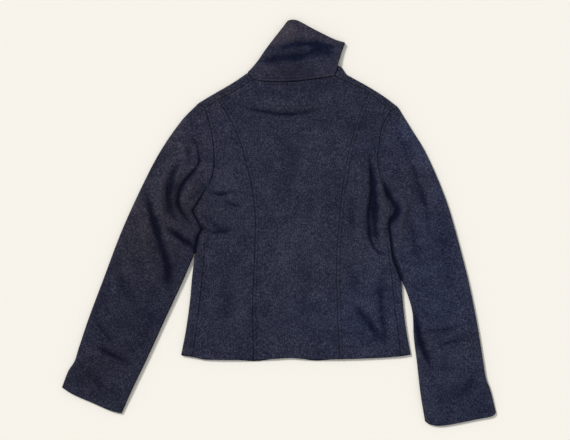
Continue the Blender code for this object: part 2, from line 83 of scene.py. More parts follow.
# Seams, edges and the allowances pressed under them.
seams = {
    "sink": 0.0012,               # how deep a seam pulls the cloth in, and how round its edges are
    "sideSink": 0.0004,           # the same for the sleeve seams along the folds
    "edgeRound": 0.00118,         # turned edges
    "collarEdgeRound": 0.0018,
    "allowance": 0.0060,          # width of the pressed allowance that shows through
    "allowanceFrom": 0.0010,      # where its step begins
    "softFrom": 0.00030,          # how soft the step is there, and at its end
    "softTo": 0.00055,
    "fullRidge": 0.00050,         # the height of the boldest allowance
    "faintSink": 0.4,             # share of its depth that the faintest seam keeps
    "hemShade": 0.0040,           # painted shade along the front hem, inside the jacket
    "shadow": 0.0016,             # half the width of the painted shade line along a seam
    "uneven": (0.75, 0.35, 0.060, 9),  # the allowance's height: share, change, wavelength and seed
    "lineUneven": (0.86, 0.14, 0.045, 21),
}
# Painted shade and painted highlight in the wool's colour: how dark troughs and seams are painted, how
# light crowns are painted, and how wide each is.
shades = {
    "troughDepth": 0.0020,        # a trough this deep is nearly as dark as any
    "ridgeHeight": 0.003,
    "secondLine": (0.62, 0.0004, 0.0010),  # painted shade line past the allowance: strength, distance and half width
    "paintedHighlight": (0.9, 0.0013),       # painted highlight over the allowance: strength and half width
    "touching": (2.2, 0.0027),    # painted shade where a sleeve's fold meets the body's
    # how far the wool is lighter along the folded outer edges
    "outline": 0.009,
    "least": 0.4,                 # share of the lesser painted shade that is added to the greater
}

# The lines of the laid jacket, as readings along each. They run up from the hem or the cuff, but
# the shoulder fold runs down from the neck and the cuff runs in from its outer corner.
leftSide = {
    "sideFold": ((181.0, 355.3), (185.8, 330), (189.6, 303), (192.0, 277), (195.0, 252.5)),
    "sharedFold": ((195.0, 252.5), (196.2, 245), (198.2, 236), (201.4, 230)),
    "sideSeam": ((192.2, 357.2), (196.0, 331), (199.6, 303), (202.2, 277), (204.2, 253), (204.8, 230.4)),
    "armhole": ((201.4, 230), (198.3, 223), (195.4, 217.4), (193.4, 211), (197.4, 203), (204, 192),
                (210, 182), (213.6, 170), (214.0, 155), (211.6, 133), (205.3, 108.4)),
    "shoulderSeam": ((205.3, 108.4), (218.3, 99.6), (234, 91), (254, 79.4)),
    "shoulderFold": ((247.6, 72.6), (234, 82), (217, 92), (206, 98.4), (198.4, 103.2)),
    "princess": ((253.6, 359.6), (253.0, 325), (253.0, 300), (254.8, 253), (255.6, 220), (252, 187),
                 (246.4, 163), (239.6, 140), (231, 121), (218.3, 99.6)),
    "sleeveOuter": ((61.7, 387.6), (68.0, 371.4), (74.4, 361.2), (78, 350), (88, 320), (103, 280),
                    (122, 230), (145, 180), (161, 150), (182, 120), (198.4, 103.2)),
    "sleeveInner": ((121.6, 413.6), (131.0, 392), (148, 356.5), (162.4, 325), (172.6, 303), (182.8, 281),
                    (195.0, 252.5)),
    "cuff": ((61.7, 387.6), (71.4, 393.8), (91, 402.4), (111, 411), (121.6, 413.6)),
    "frontEdge": ((284, 357.1), (287.4, 107.8)),
    "frontNeck": ((287.4, 107.8), (270, 104), (255, 92), (247.6, 72.6)),
    "collarFold": ((247.6, 72.6), (257, 61.6), (265, 50), (273, 39.4), (284.4, 25)),
}
rightSide = {
    "sideFold": ((411.0, 354.8), (406.6, 332), (403.0, 303), (401.4, 280)),
    "sharedFold": ((401.4, 280), (397.8, 270), (394.0, 260), (392.0, 248), (390.8, 238), (389.2, 229)),
    "sideSeam": ((401.0, 356.4), (397.4, 325), (393.6, 298), (391.6, 275), (388.8, 253), (385.6, 229.4)),
    "armhole": ((389.2, 229), (390.0, 220), (390.0, 210), (387.6, 198), (383.6, 187), (379.4, 174),
                (377.8, 160), (379, 144), (382.4, 126), (390.8, 111)),
    "shoulderSeam": ((390.8, 111), (369, 92.4), (351, 83.4), (334.2, 75.8)),
    "shoulderFold": ((338, 65.4), (341.4, 67.0), (344.0, 70.6), (346.2, 74.0), (350.5, 76.6),
                     (369.5, 87.2), (385, 97), (397.6, 106.6)),
    "princess": ((340, 359.4), (338.2, 325), (336.9, 290), (336.9, 253), (339.2, 222), (343.8, 180),
                 (350.2, 147), (358.4, 119), (369, 92.4)),
    "sleeveOuter": ((496.2, 413), (490.4, 390), (486.2, 378.6), (483.4, 362), (479, 334), (472.6, 300),
                    (465.6, 269), (449.4, 210), (438.2, 180), (424.4, 150), (412.2, 130), (397.6, 106.6)),
    "sleeveInner": ((425.2, 421.6), (420.6, 394), (417, 362), (413.9, 337), (412.6, 313), (407.4, 294),
                    (401.4, 280)),
    "cuff": ((496.2, 413), (493.2, 416.2), (477.5, 419.4), (454.5, 424), (440, 426), (430, 424.6),
             (425.2, 421.6)),
    "frontEdge": ((296.4, 357.2), (291.6, 107.8)),
    "frontNeck": ((291.6, 107.8), (309, 104), (327, 91), (338, 65.4)),
    "collarFold": ((338, 65.4), (341.2, 54), (345.4, 42.6)),
}
backHem = ((181.0, 355.3), (194, 357.5), (206, 359.6), (243, 360.2), (273, 359.2), (290, 358.2),
           (308, 359.3), (340, 359.4), (375, 358.2), (401, 356.4), (411.0, 354.8))
# Where the front hem shows past the back hem, in steps.
hemColumns = ("centre", "halfWidth", "drop")
hemShows = ((256, 13, 1.4), (316, 13, 1.4), (205, 12, 0.4), (385, 12, 0.3), (290, 12, -1.8))
neckSeam = ((254, 79.4), (262, 81.2), (284, 81.8), (304, 80.4), (329, 77), (334.2, 75.8))
collarTop = ((284.4, 25), (287.4, 21), (292.6, 19.6), (298.4, 20.8), (313, 28.6), (335, 39.4),
             (345.4, 42.6))

# Folds of the upper layer. A rise above 0 is a ridge, below 0 a trough. Lean makes one flank steeper,
# and a sharpness under 2 makes a crease. Each fold's place in its table is the seed of its unevenness.
foldColumns = ("name", "points", "halfWidth", "rise", "lean", "sharpness")  # half width and rise in mm
usualFold = {"lean": 0.0, "sharpness": 2.0}                                # where a row says neither
bodyFolds = (
    # the front neck, which shows through the back
    ("neckRidge", ((246, 98), (266, 103), (288, 105), (312, 102), (336, 96)), 12, 1.4),
    ("neckTrough", ((238, 104), (257, 110), (273, 113.6), (288, 115), (304, 113.2), (325, 110)),
     7, -0.9, 0.2, 1.8),
    ("neckCrease", ((240, 106.6), (250, 109.4), (259, 111.6), (275, 113.6), (290, 115), (306, 112.8),
                    (315, 110.6)), 2.5, -2, 0.2, 1.4),
    ("neckLight", ((306, 108.2), (316, 106.6), (330, 107.2)), 4, 1.1),
    ("backUpperTrough", ((250, 92), (262, 91), (280, 95), (300, 95)), 7, -0.6),
    ("backSoftRidge", ((300, 126), (318, 140), (326, 166)), 14, 0.8),
    ("backMiddleTrough", ((284, 128), (290, 165), (284, 205)), 18, -0.7),
    ("backLowTrough", ((300, 250), (306, 282), (302, 318)), 16, -0.6),
    ("backLowRidge", ((322, 268), (325, 300), (322, 334)), 8, 0.7),
    ("leftBackRidge", ((262, 240), (266, 276), (264, 320)), 11, 0.6),
    # left armhole and underarm
    ("leftArmpitCrease", ((193.5, 136.6), (197.5, 150), (199, 163), (193, 172), (186, 180), (180.6, 189),
                          (178.6, 198), (180, 208), (184, 215), (190, 221.6), (196, 224.6)),
     2.6, -3.6, 0.1, 1.4),
    ("leftArmpitTrough", ((197, 168), (186, 181), (179, 192), (177.6, 203), (182, 214), (192, 224)),
     7, -1.2, -0.2, 1.8),
    ("leftArmpitRidge", ((186, 163), (176, 180), (173.6, 196), (176, 210), (185, 223)), 5.2, 2.8),
    ("leftArmpitBand", ((180, 163), (174, 173), (169.8, 188), (169, 200), (171, 212), (178, 221)),
     7.2, -2.9),
    ("leftOuterRidge", ((170, 164), (162.6, 184), (161.4, 204), (166, 222), (179, 235)), 8, 2),
    ("leftUnderarmTrough", ((168, 228), (176, 234.6), (183, 240), (190, 244.6), (196, 249)),
     5.8, -3.8, 0.1, 1.7),
    ("leftUnderarmRidge", ((182, 227), (189, 233), (196, 240)), 5.6, 2),
    ("leftUnderarmLowRidge", ((166, 240), (176, 248), (186, 258)), 8, 1.8),
    ("leftArmholeRidge", ((204, 168), (194, 184), (188.4, 196), (187, 206), (192, 214)), 6, 2.2),
    ("leftArmholeCrease", ((191, 201), (199, 192), (209, 183.6)), 4, -0.9, 0.0, 1.6),
    ("leftUnderarmPinch", ((206, 188.4), (199.8, 199.4), (195.4, 206), (193.0, 210.6), (194.8, 215.4),
                           (198, 221.6), (203, 231)), 2.7, -3.6, 0.0, 1.4),
    ("leftArmholeSeamDip", ((213.8, 146), (214.2, 158), (213.8, 170), (211, 180), (206.6, 188)),
     2, -1.7, 0.0, 1.4),
    ("leftArmholeDip", ((186, 146), (189, 156), (188, 166)), 6, -1.2, 0.0, 1.8),
    # left sleeve
    ("leftSleeveTrough", ((144.6, 190), (147.5, 199), (150.5, 210), (154, 222), (157.6, 234), (161.5, 246),
                          (165.5, 258), (168, 272), (169, 289)), 8, -3, 0.1, 2.0),
    ("leftSleeveCrease", ((147.6, 196), (151, 211), (154.4, 224), (158, 236), (161, 246)),
     3, -0.8, 0.1, 1.4),
    ("leftSleeveRidge", ((135, 196), (141.6, 220), (149, 248), (155, 280)), 11, 2),
    ("leftSleeveInnerRidge", ((158, 206), (165, 226), (173, 250), (178, 268)), 7.5, 1.4),
    ("leftSleeveLongDip", ((152, 300), (166, 276), (178, 262)), 9, -0.7),
    ("leftSleeveUpperDip", ((146, 176), (158, 160), (170, 148)), 9, -0.8),
    ("leftMiddleTrough", ((116, 262), (124, 286), (138, 306)), 13, -1),
    ("leftInnerDip", ((146, 306), (151, 320), (146, 336)), 10, -1),
    ("leftElbowCrease", ((96, 346.2), (104, 350.6), (112.2, 354.8), (120, 358.2), (129, 362.2)),
     2.8, -1.9, 0.1, 1.4),
    ("leftElbowTrough", ((92, 342), (106, 351), (120, 359), (134, 364)), 8, -0.8),
    ("leftElbowUpperCrease", ((95, 318), (101, 328.6), (107, 335), (113, 342.4)), 3.4, -1.2, 0.1, 1.6),
    ("leftElbowRidge", ((107, 343.6), (116, 349), (130, 355)), 5.2, 1.1),
    ("leftElbowLowRidge", ((94, 355), (108, 363), (124, 371)), 8, 1),
    ("leftCuffTrough", ((82, 370), (96, 380), (104, 394)), 9.5, -1),
    # left side panel
    ("leftPanelCreaseA", ((208, 190.6), (214, 192.8), (219, 194.2), (226, 193.4), (235, 191)),
     3.4, -2.4, 0.0, 1.4),
    ("leftPanelCreaseB", ((224, 201.4), (232, 204.8), (242, 207)), 3.4, -2.4, 0.0, 1.4),
    ("leftPanelCreaseC", ((207, 231.8), (220, 232.4), (233, 230)), 4.6, -2, 0.0, 1.6),
    ("leftPanelCreaseD", ((198, 209.6), (206, 217), (214, 223.6), (224, 231), (236, 239)),
     5, -1.1, 0.0, 1.7),
    ("leftPanelRidgeA", ((210, 199), (220, 200), (236, 198)), 5.2, 1.1),
    ("leftPanelRidgeB", ((206, 208), (218, 214), (234, 216)), 7, 1.3),
    ("leftPanelRidgeC", ((208, 224), (220, 226), (240, 222)), 5.2, 1),
    ("leftPanelLowTrough", ((222, 270), (227, 300), (224, 334)), 12, -0.9),
    # right back
    ("rightBackCrease", ((369.4, 156), (370.4, 170), (372, 182), (371.6, 195), (369.4, 207), (368.4, 220),
                         (369.4, 233), (372, 244), (377, 251), (386, 256)), 2.8, -4.6, 0.1, 1.4),
    ("rightBackTrough", ((371, 166), (373, 182), (374, 196), (374.6, 212), (375, 226), (377, 242)),
     6.2, -4.4, 0.1, 1.8),
    ("rightBackRidge", ((379, 168), (382.6, 192), (382.4, 216), (382.6, 246)), 7.2, 3.2),
    ("rightBackInnerRidge", ((360, 160), (361.4, 200), (360.6, 226), (364, 258)), 9, 2.2),
    ("rightShoulderDip", ((344, 127), (360, 126.6), (378, 131)), 9.5, -0.7),
    ("rightBackInnerDip", ((350, 192), (352, 214), (350, 240)), 8, -0.9),
    ("rightPanelTrough", ((344, 258), (352, 276), (356, 296)), 10, -0.9),
    ("rightHemTrough", ((356, 307), (365, 318), (372, 327), (381, 342)), 8.5, -2.4, 0.0, 1.9),
    ("rightHemUpright", ((379, 274), (381, 300), (383, 324), (386, 350)), 8, -1.8, 0.0, 1.9),
    ("rightHemRidge", ((366, 296), (373, 310), (377, 320)), 7.5, 1),
    ("rightHemOuterRidge", ((391, 290), (393, 318), (396, 346)), 7, 1),
    # right armhole and underarm
    ("rightUnderarmCrease", ((383.6, 182), (387, 192), (391, 199.6), (395, 205), (397, 210),
                             (394.8, 216.6), (389.8, 222.6), (389.4, 231)), 4.4, -6, 0.1, 1.3),
    ("rightUnderarmRidge", ((386.6, 200), (389.4, 209), (387, 220)), 4, 1.4),
    ("rightSleeveFoldRidge", ((394, 186), (404, 204), (402, 222), (400, 244)), 8, 3.6),
    ("rightDivide", ((394, 236), (397, 250), (401, 264), (406, 278)), 6, 1.2),
    # right sleeve
    ("rightSleeveTrough", ((402, 147), (409.6, 160), (415, 172), (419, 186), (423.5, 198), (426.6, 209.5),
                           (428.4, 226)), 6.6, -1, -0.1, 1.8),
    ("rightSleeveCrease", ((410, 164), (418, 183), (423, 197), (427, 213), (428.6, 228), (428, 246)),
     3, -1, 0.0, 1.5),
    ("rightSleeveUpperDip", ((397, 131), (404, 143), (412, 153)), 5.5, -0.8, 0.0, 1.8),
    ("rightSleeveRidge", ((414, 152), (428, 184), (437, 218)), 9.5, 1.9),
    ("rightSleeveInnerRidge", ((400, 160), (409, 182), (415, 206)), 8, 1.4),
    ("rightLowTrough", ((408, 214), (414, 240), (418, 262)), 9, -1),
    ("rightLongTrough", ((437, 232), (446, 262), (450, 292)), 12, -1),
    ("rightCuffTrough", ((414.2, 311), (417, 327), (421, 344), (425.6, 355.6), (431, 368)),
     5.4, -3.6, 0.1, 1.6),
    ("rightCuffRidge", ((423, 318), (428, 340), (436, 362)), 8.5, 1.4),
    ("rightElbowCrease", ((433, 351), (439, 347.6), (446, 343.6), (453, 341.4), (462, 340.4), (473, 341)),
     3.6, -1.5, 0.0, 1.5),
    ("rightElbowRidge", ((440, 338), (456, 335), (474, 333)), 6.5, 1.2),
    ("rightUpperElbowCrease", ((422, 334), (432, 331), (440, 329.8), (450, 329.2), (457, 327.4),
                               (468, 323.6)), 3.6, -1.2, 0.0, 1.5),
    ("rightElbowLowRidge", ((446, 350), (460, 349), (474, 352)), 6.5, 0.9),
    ("rightCuffDiagonal", ((454, 398), (466, 389), (472, 380), (476, 368)), 9, -1.1),
    ("rightCuffSoft", ((436, 380), (444, 396), (440, 412)), 9, -0.7),
)
collarFolds = (
    ("collarTrough", ((277, 49.6), (288, 46.6), (297, 45), (309, 44.6), (320, 45.4), (336, 48)),
     5, -4, 0.2, 1.5),
    ("collarLowerTrough", ((263, 62), (274, 59.8), (284, 58.6), (296, 58), (305, 56.4), (316, 50.6)),
     4.8, -3.4, 0.0, 1.7),
    ("collarHollow", ((264, 61), (286, 55.4), (306, 52), (330, 53)), 11.5, -1.1),
    ("collarPocket", ((312, 49), (324, 50.4), (334, 55)), 7, -2.4, 0.0, 1.9),
    ("collarBetween", ((276, 54), (288, 52), (300, 51)), 3.6, 0.6),
    ("collarUpperRidge", ((278, 38), (302, 35), (332, 41)), 9, 1.8),
    ("collarTopRidge", ((289, 25), (304, 31), (322, 38)), 6, 0.6),
    ("collarStandRidge", ((256, 71), (292, 69.6), (330, 63)), 10, 1.8),
)
# Soft hollows of the layer that lies on the floor, where the cloth lifts.
floorFolds = (
    ("leftFrontHollow", ((212, 120), (222, 160), (214, 204)), 14, 1),
    ("leftFrontPull", ((206, 236), (228, 226), (256, 224)), 12, 0.9, 0.1, 2.0),
    ("leftFrontLow", ((216, 340), (226, 306), (222, 270)), 16, 0.7),
    ("rightFrontHollow", ((374, 132), (364, 172), (368, 214)), 13, 1.1),
    ("rightFrontPull", ((384, 244), (356, 238), (330, 244)), 11, 0.8, -0.1, 2.0),
    ("rightFrontLow", ((352, 346), (360, 310), (352, 276)), 17, 0.7),
    ("leftSleeveHollow", ((156, 176), (150, 214), (160, 246)), 13, 1),
    ("leftSleeveBend", ((104, 330), (120, 338), (134, 350)), 11, 0.9),
    ("rightSleeveHollow", ((412, 150), (426, 186), (430, 226)), 13, 1),
    ("rightSleeveBend", ((432, 352), (452, 346), (470, 350)), 11, 0.9),
)
foldShape = {
    "reach": 3.4,                 # half widths past which a fold is left out
    "fade": 0.6,                  # under 1 a fold keeps its depth nearly to its ends
    "wavelength": 0.032,
    "firstSeed": 60,
    "change": 0.20,               # how much width and depth change along a fold
}

# Soft patches of painted light and shade, where the wool is lighter (above 0) or darker, and warmer (above
# 0) or bluer.
patchColumns = ("name", "centre", "radius", "brightness", "paintedWarmth")
patches = (
    ("collarCorner", (285, 32), 20, 0.28, 1.5),
    ("collarShade", (306, 53), 22, -0.10, -0.7),
    ("collarTopEdge", (318, 34), 20, 0.08, 0.5),
    ("collarStand", (292, 70), 24, -0.28, -0.2),
    ("leftShoulderFold", (218, 93), 20, 0.05, 0.7),
    ("leftSleeveHead", (172, 140), 36, 0.10, 0.9),
    ("leftSleeveOuter", (134, 212), 36, 0.06, 1.0),
    ("leftArmpit", (182, 205), 26, -0.06, 0.9),
    ("leftArmholeEnd", (202.6, 227.6), 3.4, -0.72, -0.4),
    ("leftArmholePinch", (193, 211), 3.2, -0.55, -0.6),
    ("leftSleeveMiddle", (136, 252), 36, -0.17, 0.5),
    ("leftSleeveLow", (118, 322), 56, -0.19, 0.1),
    ("leftCuff", (92, 388), 40, -0.23, 0.1),
    ("leftCuffShade", (88, 368), 15, -0.14, 0.0),
    ("leftSleeveInner", (151, 318), 14, -0.12, -0.6),
    ("rightSleeveHead", (414, 146), 30, 0.06, -0.4),
    ("rightEdgeUpper", (409, 129), 12, 0.60, -0.5),
    ("rightEdgeMiddle", (427, 158), 13, 0.50, -0.5),
    ("rightEdgeLower", (441, 190), 13, 0.40, -0.5),
    ("rightSleeve", (440, 250), 60, 0.06, -0.95),
    ("rightElbow", (450, 318), 34, 0.04, -0.6),
    ("rightCuff", (458, 400), 40, -0.12, -1.1),
    ("rightPanel", (372, 318), 44, 0.10, -0.9),
    ("rightBack", (360, 150), 34, 0.02, -0.3),
    ("backLow", (296, 318), 50, 0.03, -0.3),
    ("backMiddle", (300, 190), 50, 0.02, 0.0),
)


def place(readings):
    steps = (np.array(readings, dtype=float) - laid["middle"]) * (laid["step"], -laid["step"])
    return steps + laid["shift"]


def smooth(points):
    # A curve through every point that turns evenly between them.
    padded = np.vstack([2 * points[0] - points[1], points, 2 * points[-1] - points[-2]])
    t = np.linspace(0, 1, mesh["curveSamples"], endpoint=False)[:, None]
    runs = []
    for a, b, c, d in zip(padded, padded[1:], padded[2:], padded[3:]):
        reach = np.linalg.norm(c - b)
        start = (c - a) / max(np.linalg.norm(c - a), 1e-9) * reach
        end = (d - b) / max(np.linalg.norm(d - b), 1e-9) * reach
        runs.append((2 * t**3 - 3 * t**2 + 1) * b + (t**3 - 2 * t**2 + t) * start
                    + (3 * t**2 - 2 * t**3) * c + (t**3 - t**2) * end)
    return np.vstack(runs + [points[-1:]])


def travelled(curve):
    return np.concatenate([[0], np.cumsum(np.linalg.norm(np.diff(curve, axis=0), axis=1))])


def lengthOf(curve):
    return travelled(curve)[-1]


def along(curve, shares):
    distance = travelled(curve)
    wanted = np.asarray(shares) * distance[-1]
    return np.stack([np.interp(wanted, distance, curve[:, axis]) for axis in range(2)], axis=1)


def join(*runs):
    return np.vstack([runs[0]] + [run[1:] for run in runs[1:]])


def joinEnds(curve, start, end):
    moved = curve.copy()
    moved[0], moved[-1] = start, end
    return moved


def unit(vectors):
    return vectors / np.maximum(np.linalg.norm(vectors, axis=-1, keepdims=True), 1e-12)


def divide(length, startFine=True, endFine=True, cell=None):
    # Shares of a length: close together at a border, then even.
    near = np.concatenate([[0], mesh["borderSteps"]])
    start = near if startFine else near[:1]
    end = length - (near if endFine else near[:1])[::-1]
    room = end[0] - start[-1]
    middle = np.linspace(start[-1], end[0], max(1, math.ceil(room / (cell or mesh["cell"]))) + 1)
    return np.concatenate([start[:-1], middle, end[1:]]) / length


def divideRuns(runs, startFine=True, endFine=True, cell=None):
    # Points along runs that meet end to end, with every meeting point kept, and their shares.
    points, shares, before = [], [], 0.0
    for index, run in enumerate(runs):
        length = lengthOf(run)
        share = divide(length, startFine and index == 0, endFine and index == len(runs) - 1, cell)
        skip = 1 if index else 0
        points.append(along(run, share)[skip:])
        shares.append((before + share * length)[skip:])
        before += length
    return np.vstack(points), np.concatenate(shares) / before


def coons(lower, upper, left, right, u, v):
    # A patch of rows and columns between four edges. The upright ones are moved to share their corners.
    left, right = joinEnds(left, lower[0], upper[0]), joinEnds(right, lower[-1], upper[-1])
    u, v = u[None, :, None], v[:, None, None]
    across = (1 - v) * lower + v * upper
    upward = (1 - u) * left[:, None] + u * right[:, None]
    corners = ((1 - u) * (1 - v) * lower[0] + u * (1 - v) * lower[-1]
               + (1 - u) * v * upper[0] + u * v * upper[-1])
    return across + upward - corners


def distanceTo(plan, curve):
    flat = plan.reshape(-1, 2)
    found = [np.sqrt(((part[:, None] - curve[None]) ** 2).sum(-1).min(1))
             for part in np.array_split(flat, len(flat) // 6000 + 1)]
    return np.concatenate(found).reshape(plan.shape[:-1])


def bell(distance, halfWidth):
    return np.exp(-((distance / halfWidth) ** 2))


def rows(columns, table, usual=None):
    return [dict(usual or {}, **dict(zip(columns, line))) for line in table]


def hemBetween(xStart, xEnd, shares, ofFront=False):
    x = xStart + (xEnd - xStart) * np.asarray(shares)
    hem = smooth(np.array(backHem, dtype=float))
    y = np.interp(x, hem[:, 0], hem[:, 1])
    if ofFront:
        for row in rows(hemColumns, hemShows):
            y += row["drop"] * bell(x - row["centre"], row["halfWidth"])
    return place(np.stack([x, y], axis=1))


def ripple(plan, wavelength, seed, waves=14):
    # A soft random unevenness between about -1 and 1.
    chance = np.random.default_rng(seed)
    total = np.zeros(plan.shape[:-1])
    for _ in range(waves):
        direction, phase = chance.uniform(0, 2 * math.pi, 2)
        size = wavelength * chance.uniform(0.7, 1.6)
        across = plan[..., 0] * math.cos(direction) + plan[..., 1] * math.sin(direction)
        total += np.sin(across * 2 * math.pi / size + phase)
    return total * math.sqrt(2 / waves) / 1.6


def foldRelief(plan, folds, troughsOnly=False):
    flat = plan.reshape(-1, 2)
    total = np.zeros(len(flat))
    for number, row in enumerate(rows(foldColumns, folds, usualFold)):
        if troughsOnly and row["rise"] > 0:
            continue
        line = smooth(place(row["points"]))[::3]
        halfWidth, rise = row["halfWidth"] / 1000, row["rise"] / 1000
        reach = foldShape["reach"] * halfWidth
        near = ((flat > line.min(0) - reach) & (flat < line.max(0) + reach)).all(1)
        index = np.flatnonzero(near)
        if not len(index):
            continue
        offset = flat[index, None] - line[None]
        squared = (offset**2).sum(-1)
        nearest = squared.argmin(1)
        one = np.arange(len(index))
        tangent = np.gradient(line, axis=0)[nearest]
        gap = offset[one, nearest]
        side = np.sign(tangent[:, 0] * gap[:, 1] - tangent[:, 1] * gap[:, 0])
        share = travelled(line)[nearest] / lengthOf(line)
        fade = np.sin(math.pi * np.clip(share, 0.02, 0.98)) ** foldShape["fade"]
        seed = foldShape["firstSeed"] + 2 * number
        wider, deeper = (ripple(line, foldShape["wavelength"], seed + i)[nearest] for i in (0, 1))
        width = halfWidth * (1 + row["lean"] * side) * (1 + foldShape["change"] * wider)
        shape = np.exp(-((np.sqrt(squared[one, nearest]) / width) ** row["sharpness"]))
        total[index] += rise * shape * fade * (1 + foldShape["change"] * deeper)
    return total.reshape(plan.shape[:-1])


def foldShade(plan, folds):
    # The painted shade of the troughs and the painted highlight of the ridges, each between 0 and 1.
    depth = -foldRelief(plan, folds, True) / shades["troughDepth"]
    return depth / (1 + depth**4) ** 0.25, np.clip(foldRelief(plan, folds) / shades["ridgeHeight"], 0, 1)


def paintedLightPatches(plan):
    paintedBrightness, paintedWarmth = np.ones(plan.shape[:-1]), np.zeros(plan.shape[:-1])
    for row in rows(patchColumns, patches):
        gap = np.linalg.norm(plan - place([row["centre"]])[0], axis=-1)
        weight = bell(gap, row["radius"] * laid["step"])
        paintedBrightness += row["brightness"] * weight
        paintedWarmth += row["paintedWarmth"] * weight
    return paintedBrightness, paintedWarmth


def softLeast(values, least, softness=0.0004):
    return least + softness * np.logaddexp(0, (values - least) / softness)


class Lay:
    # The height of the upper layer's face over any point of the plan.

    def __init__(self, folded, opened, stack, puff, openStack, cloth, folds):
        self.folded, self.opened = folded, opened
        self.stack, self.puff, self.openStack = stack, puff, openStack
        self.cloth, self.folds = cloth, folds

    def height(self, plan):
        inside = 1 - bell(distanceTo(plan, self.folded), laid["puffReach"])
        fromOpening = 1 - bell(distanceTo(plan, self.opened), laid["openReach"])
        uneven = sum(height * ripple(plan, wavelength, seed) for height, wavelength, seed in laid["uneven"])
        full = self.stack + self.puff * inside + foldRelief(plan, self.folds) + uneven * inside
        full = softLeast(full, 2 * self.cloth + laid["leastAir"])
        return self.openStack + (full - self.openStack) * fromOpening


def readCurves(readings):
    curve = {name: smooth(place(points)) for name, points in readings.items()}
    meeting = np.linalg.norm(curve["shoulderSeam"] - curve["princess"][-1], axis=1).argmin()
    curve["shoulderSide"] = curve["shoulderSeam"][:meeting + 1]
    curve["shoulderNeck"] = curve["shoulderSeam"][meeting:]
    hemLines = ("sideSeam", "princess", "frontEdge", "sideFold")
    curve["hemXs"] = {name: readings[name][0][0] for name in hemLines}
    return curve


def sheetOf(plan, height):
    return np.concatenate([plan, np.broadcast_to(height, plan.shape[:-1])[..., None]], axis=-1)


def turnOver(edge, toward, radius, height, angles, inset, gap=0.0):
    # The cloth as it turns over at each edge point: 0 is on the floor, pi on the upper face.
    angles = np.asarray(angles)[None, :]
    reach = gap + radius - (radius - inset) * np.sin(angles)
    plan = edge[:, None] + toward[:, None] * reach[..., None]
    z = height[:, None] / 2 - (height[:, None] / 2 - inset) * np.cos(angles)
    return sheetOf(plan, z)


# Places where a seam hardly shows, and how much of its painted shade line goes.
faintColumns = ("centre", "radius", "loss")
faintPlaces = (((337, 70), 9, 0.85), ((332, 76), 5, 0.5), ((251, 75), 8, 0.75), ((257, 79), 4, 0.4),
               ((386, 240), 12, 0.5), ((204, 238), 9, 0.5))


def seamStrength(plan):
    strength = np.ones(plan.shape[:-1])
    for row in rows(faintColumns, faintPlaces):
        gap = np.linalg.norm(plan - place([row["centre"]])[0], axis=-1)
        strength *= 1 - row["loss"] * bell(gap, row["radius"] * laid["step"])
    share, change, wavelength, seed = seams["lineUneven"]
    return strength * (share + change * ripple(plan, wavelength, seed))


# Walls of cloth


def fromEnds(points, used):
    # Distance over the cloth from the first and from the last used point of each grid row.
    steps = np.linalg.norm(np.diff(points, axis=1), axis=2)
    far = np.concatenate([np.zeros((len(points), 1)), np.cumsum(steps, axis=1)], axis=1)
    first = used.argmax(1)
    last = used.shape[1] - 1 - used[:, ::-1].argmax(1)
    each = np.arange(len(points))
    return far - far[each, first][:, None], far[each, last][:, None] - far


def roundOff(distance, radius):
    inside = np.clip(distance / radius, 0, 1)
    return radius * (1 - np.sqrt(np.maximum(1 - (1 - inside) ** 2, 0)))


def pressed(distance):
    # The allowance under the cloth beside a seam: a low flat step with soft edges.
    distance = np.clip(distance, 0, 0.02)  # no farther, so that the powers stay small
    start = 1 / (1 + np.exp(-(distance - seams["allowanceFrom"]) / seams["softFrom"]))
    end = 1 / (1 + np.exp((distance - seams["allowance"]) / seams["softTo"]))
    return start * end


def usedPoints(cells):
    used = np.zeros((cells.shape[0] + 1, cells.shape[1] + 1), dtype=bool)
    for rowShift in (0, 1):
        for columnShift in (0, 1):
            used[rowShift:rowShift + cells.shape[0], columnShift:columnShift + cells.shape[1]] |= cells
    return used


def linkObject(name, data):
    made = bpy.data.objects.new(name, data)
    bpy.context.scene.collection.objects.link(made)
    return made


def drawMesh(name, points, faces, uv, values):
    data = bpy.data.meshes.new(name)
    data.vertices.add(len(points))
    data.vertices.foreach_set("co", points.astype(np.float32).reshape(-1))
    data.loops.add(faces.size)
    data.loops.foreach_set("vertex_index", faces.reshape(-1).astype(np.int32))
    data.polygons.add(len(faces))
    data.polygons.foreach_set("loop_start", np.arange(0, faces.size, 4, dtype=np.int32))
    data.update(calc_edges=True)
    data.validate()
    data.shade_smooth()
    layer = data.uv_layers.new(name="cloth")
    layer.data.foreach_set("uv", uv[faces.reshape(-1)].astype(np.float32).reshape(-1))
    for key, value in values.items():
        data.attributes.new(key, "FLOAT", "POINT").data.foreach_set("value", value.astype(np.float32))
    return data


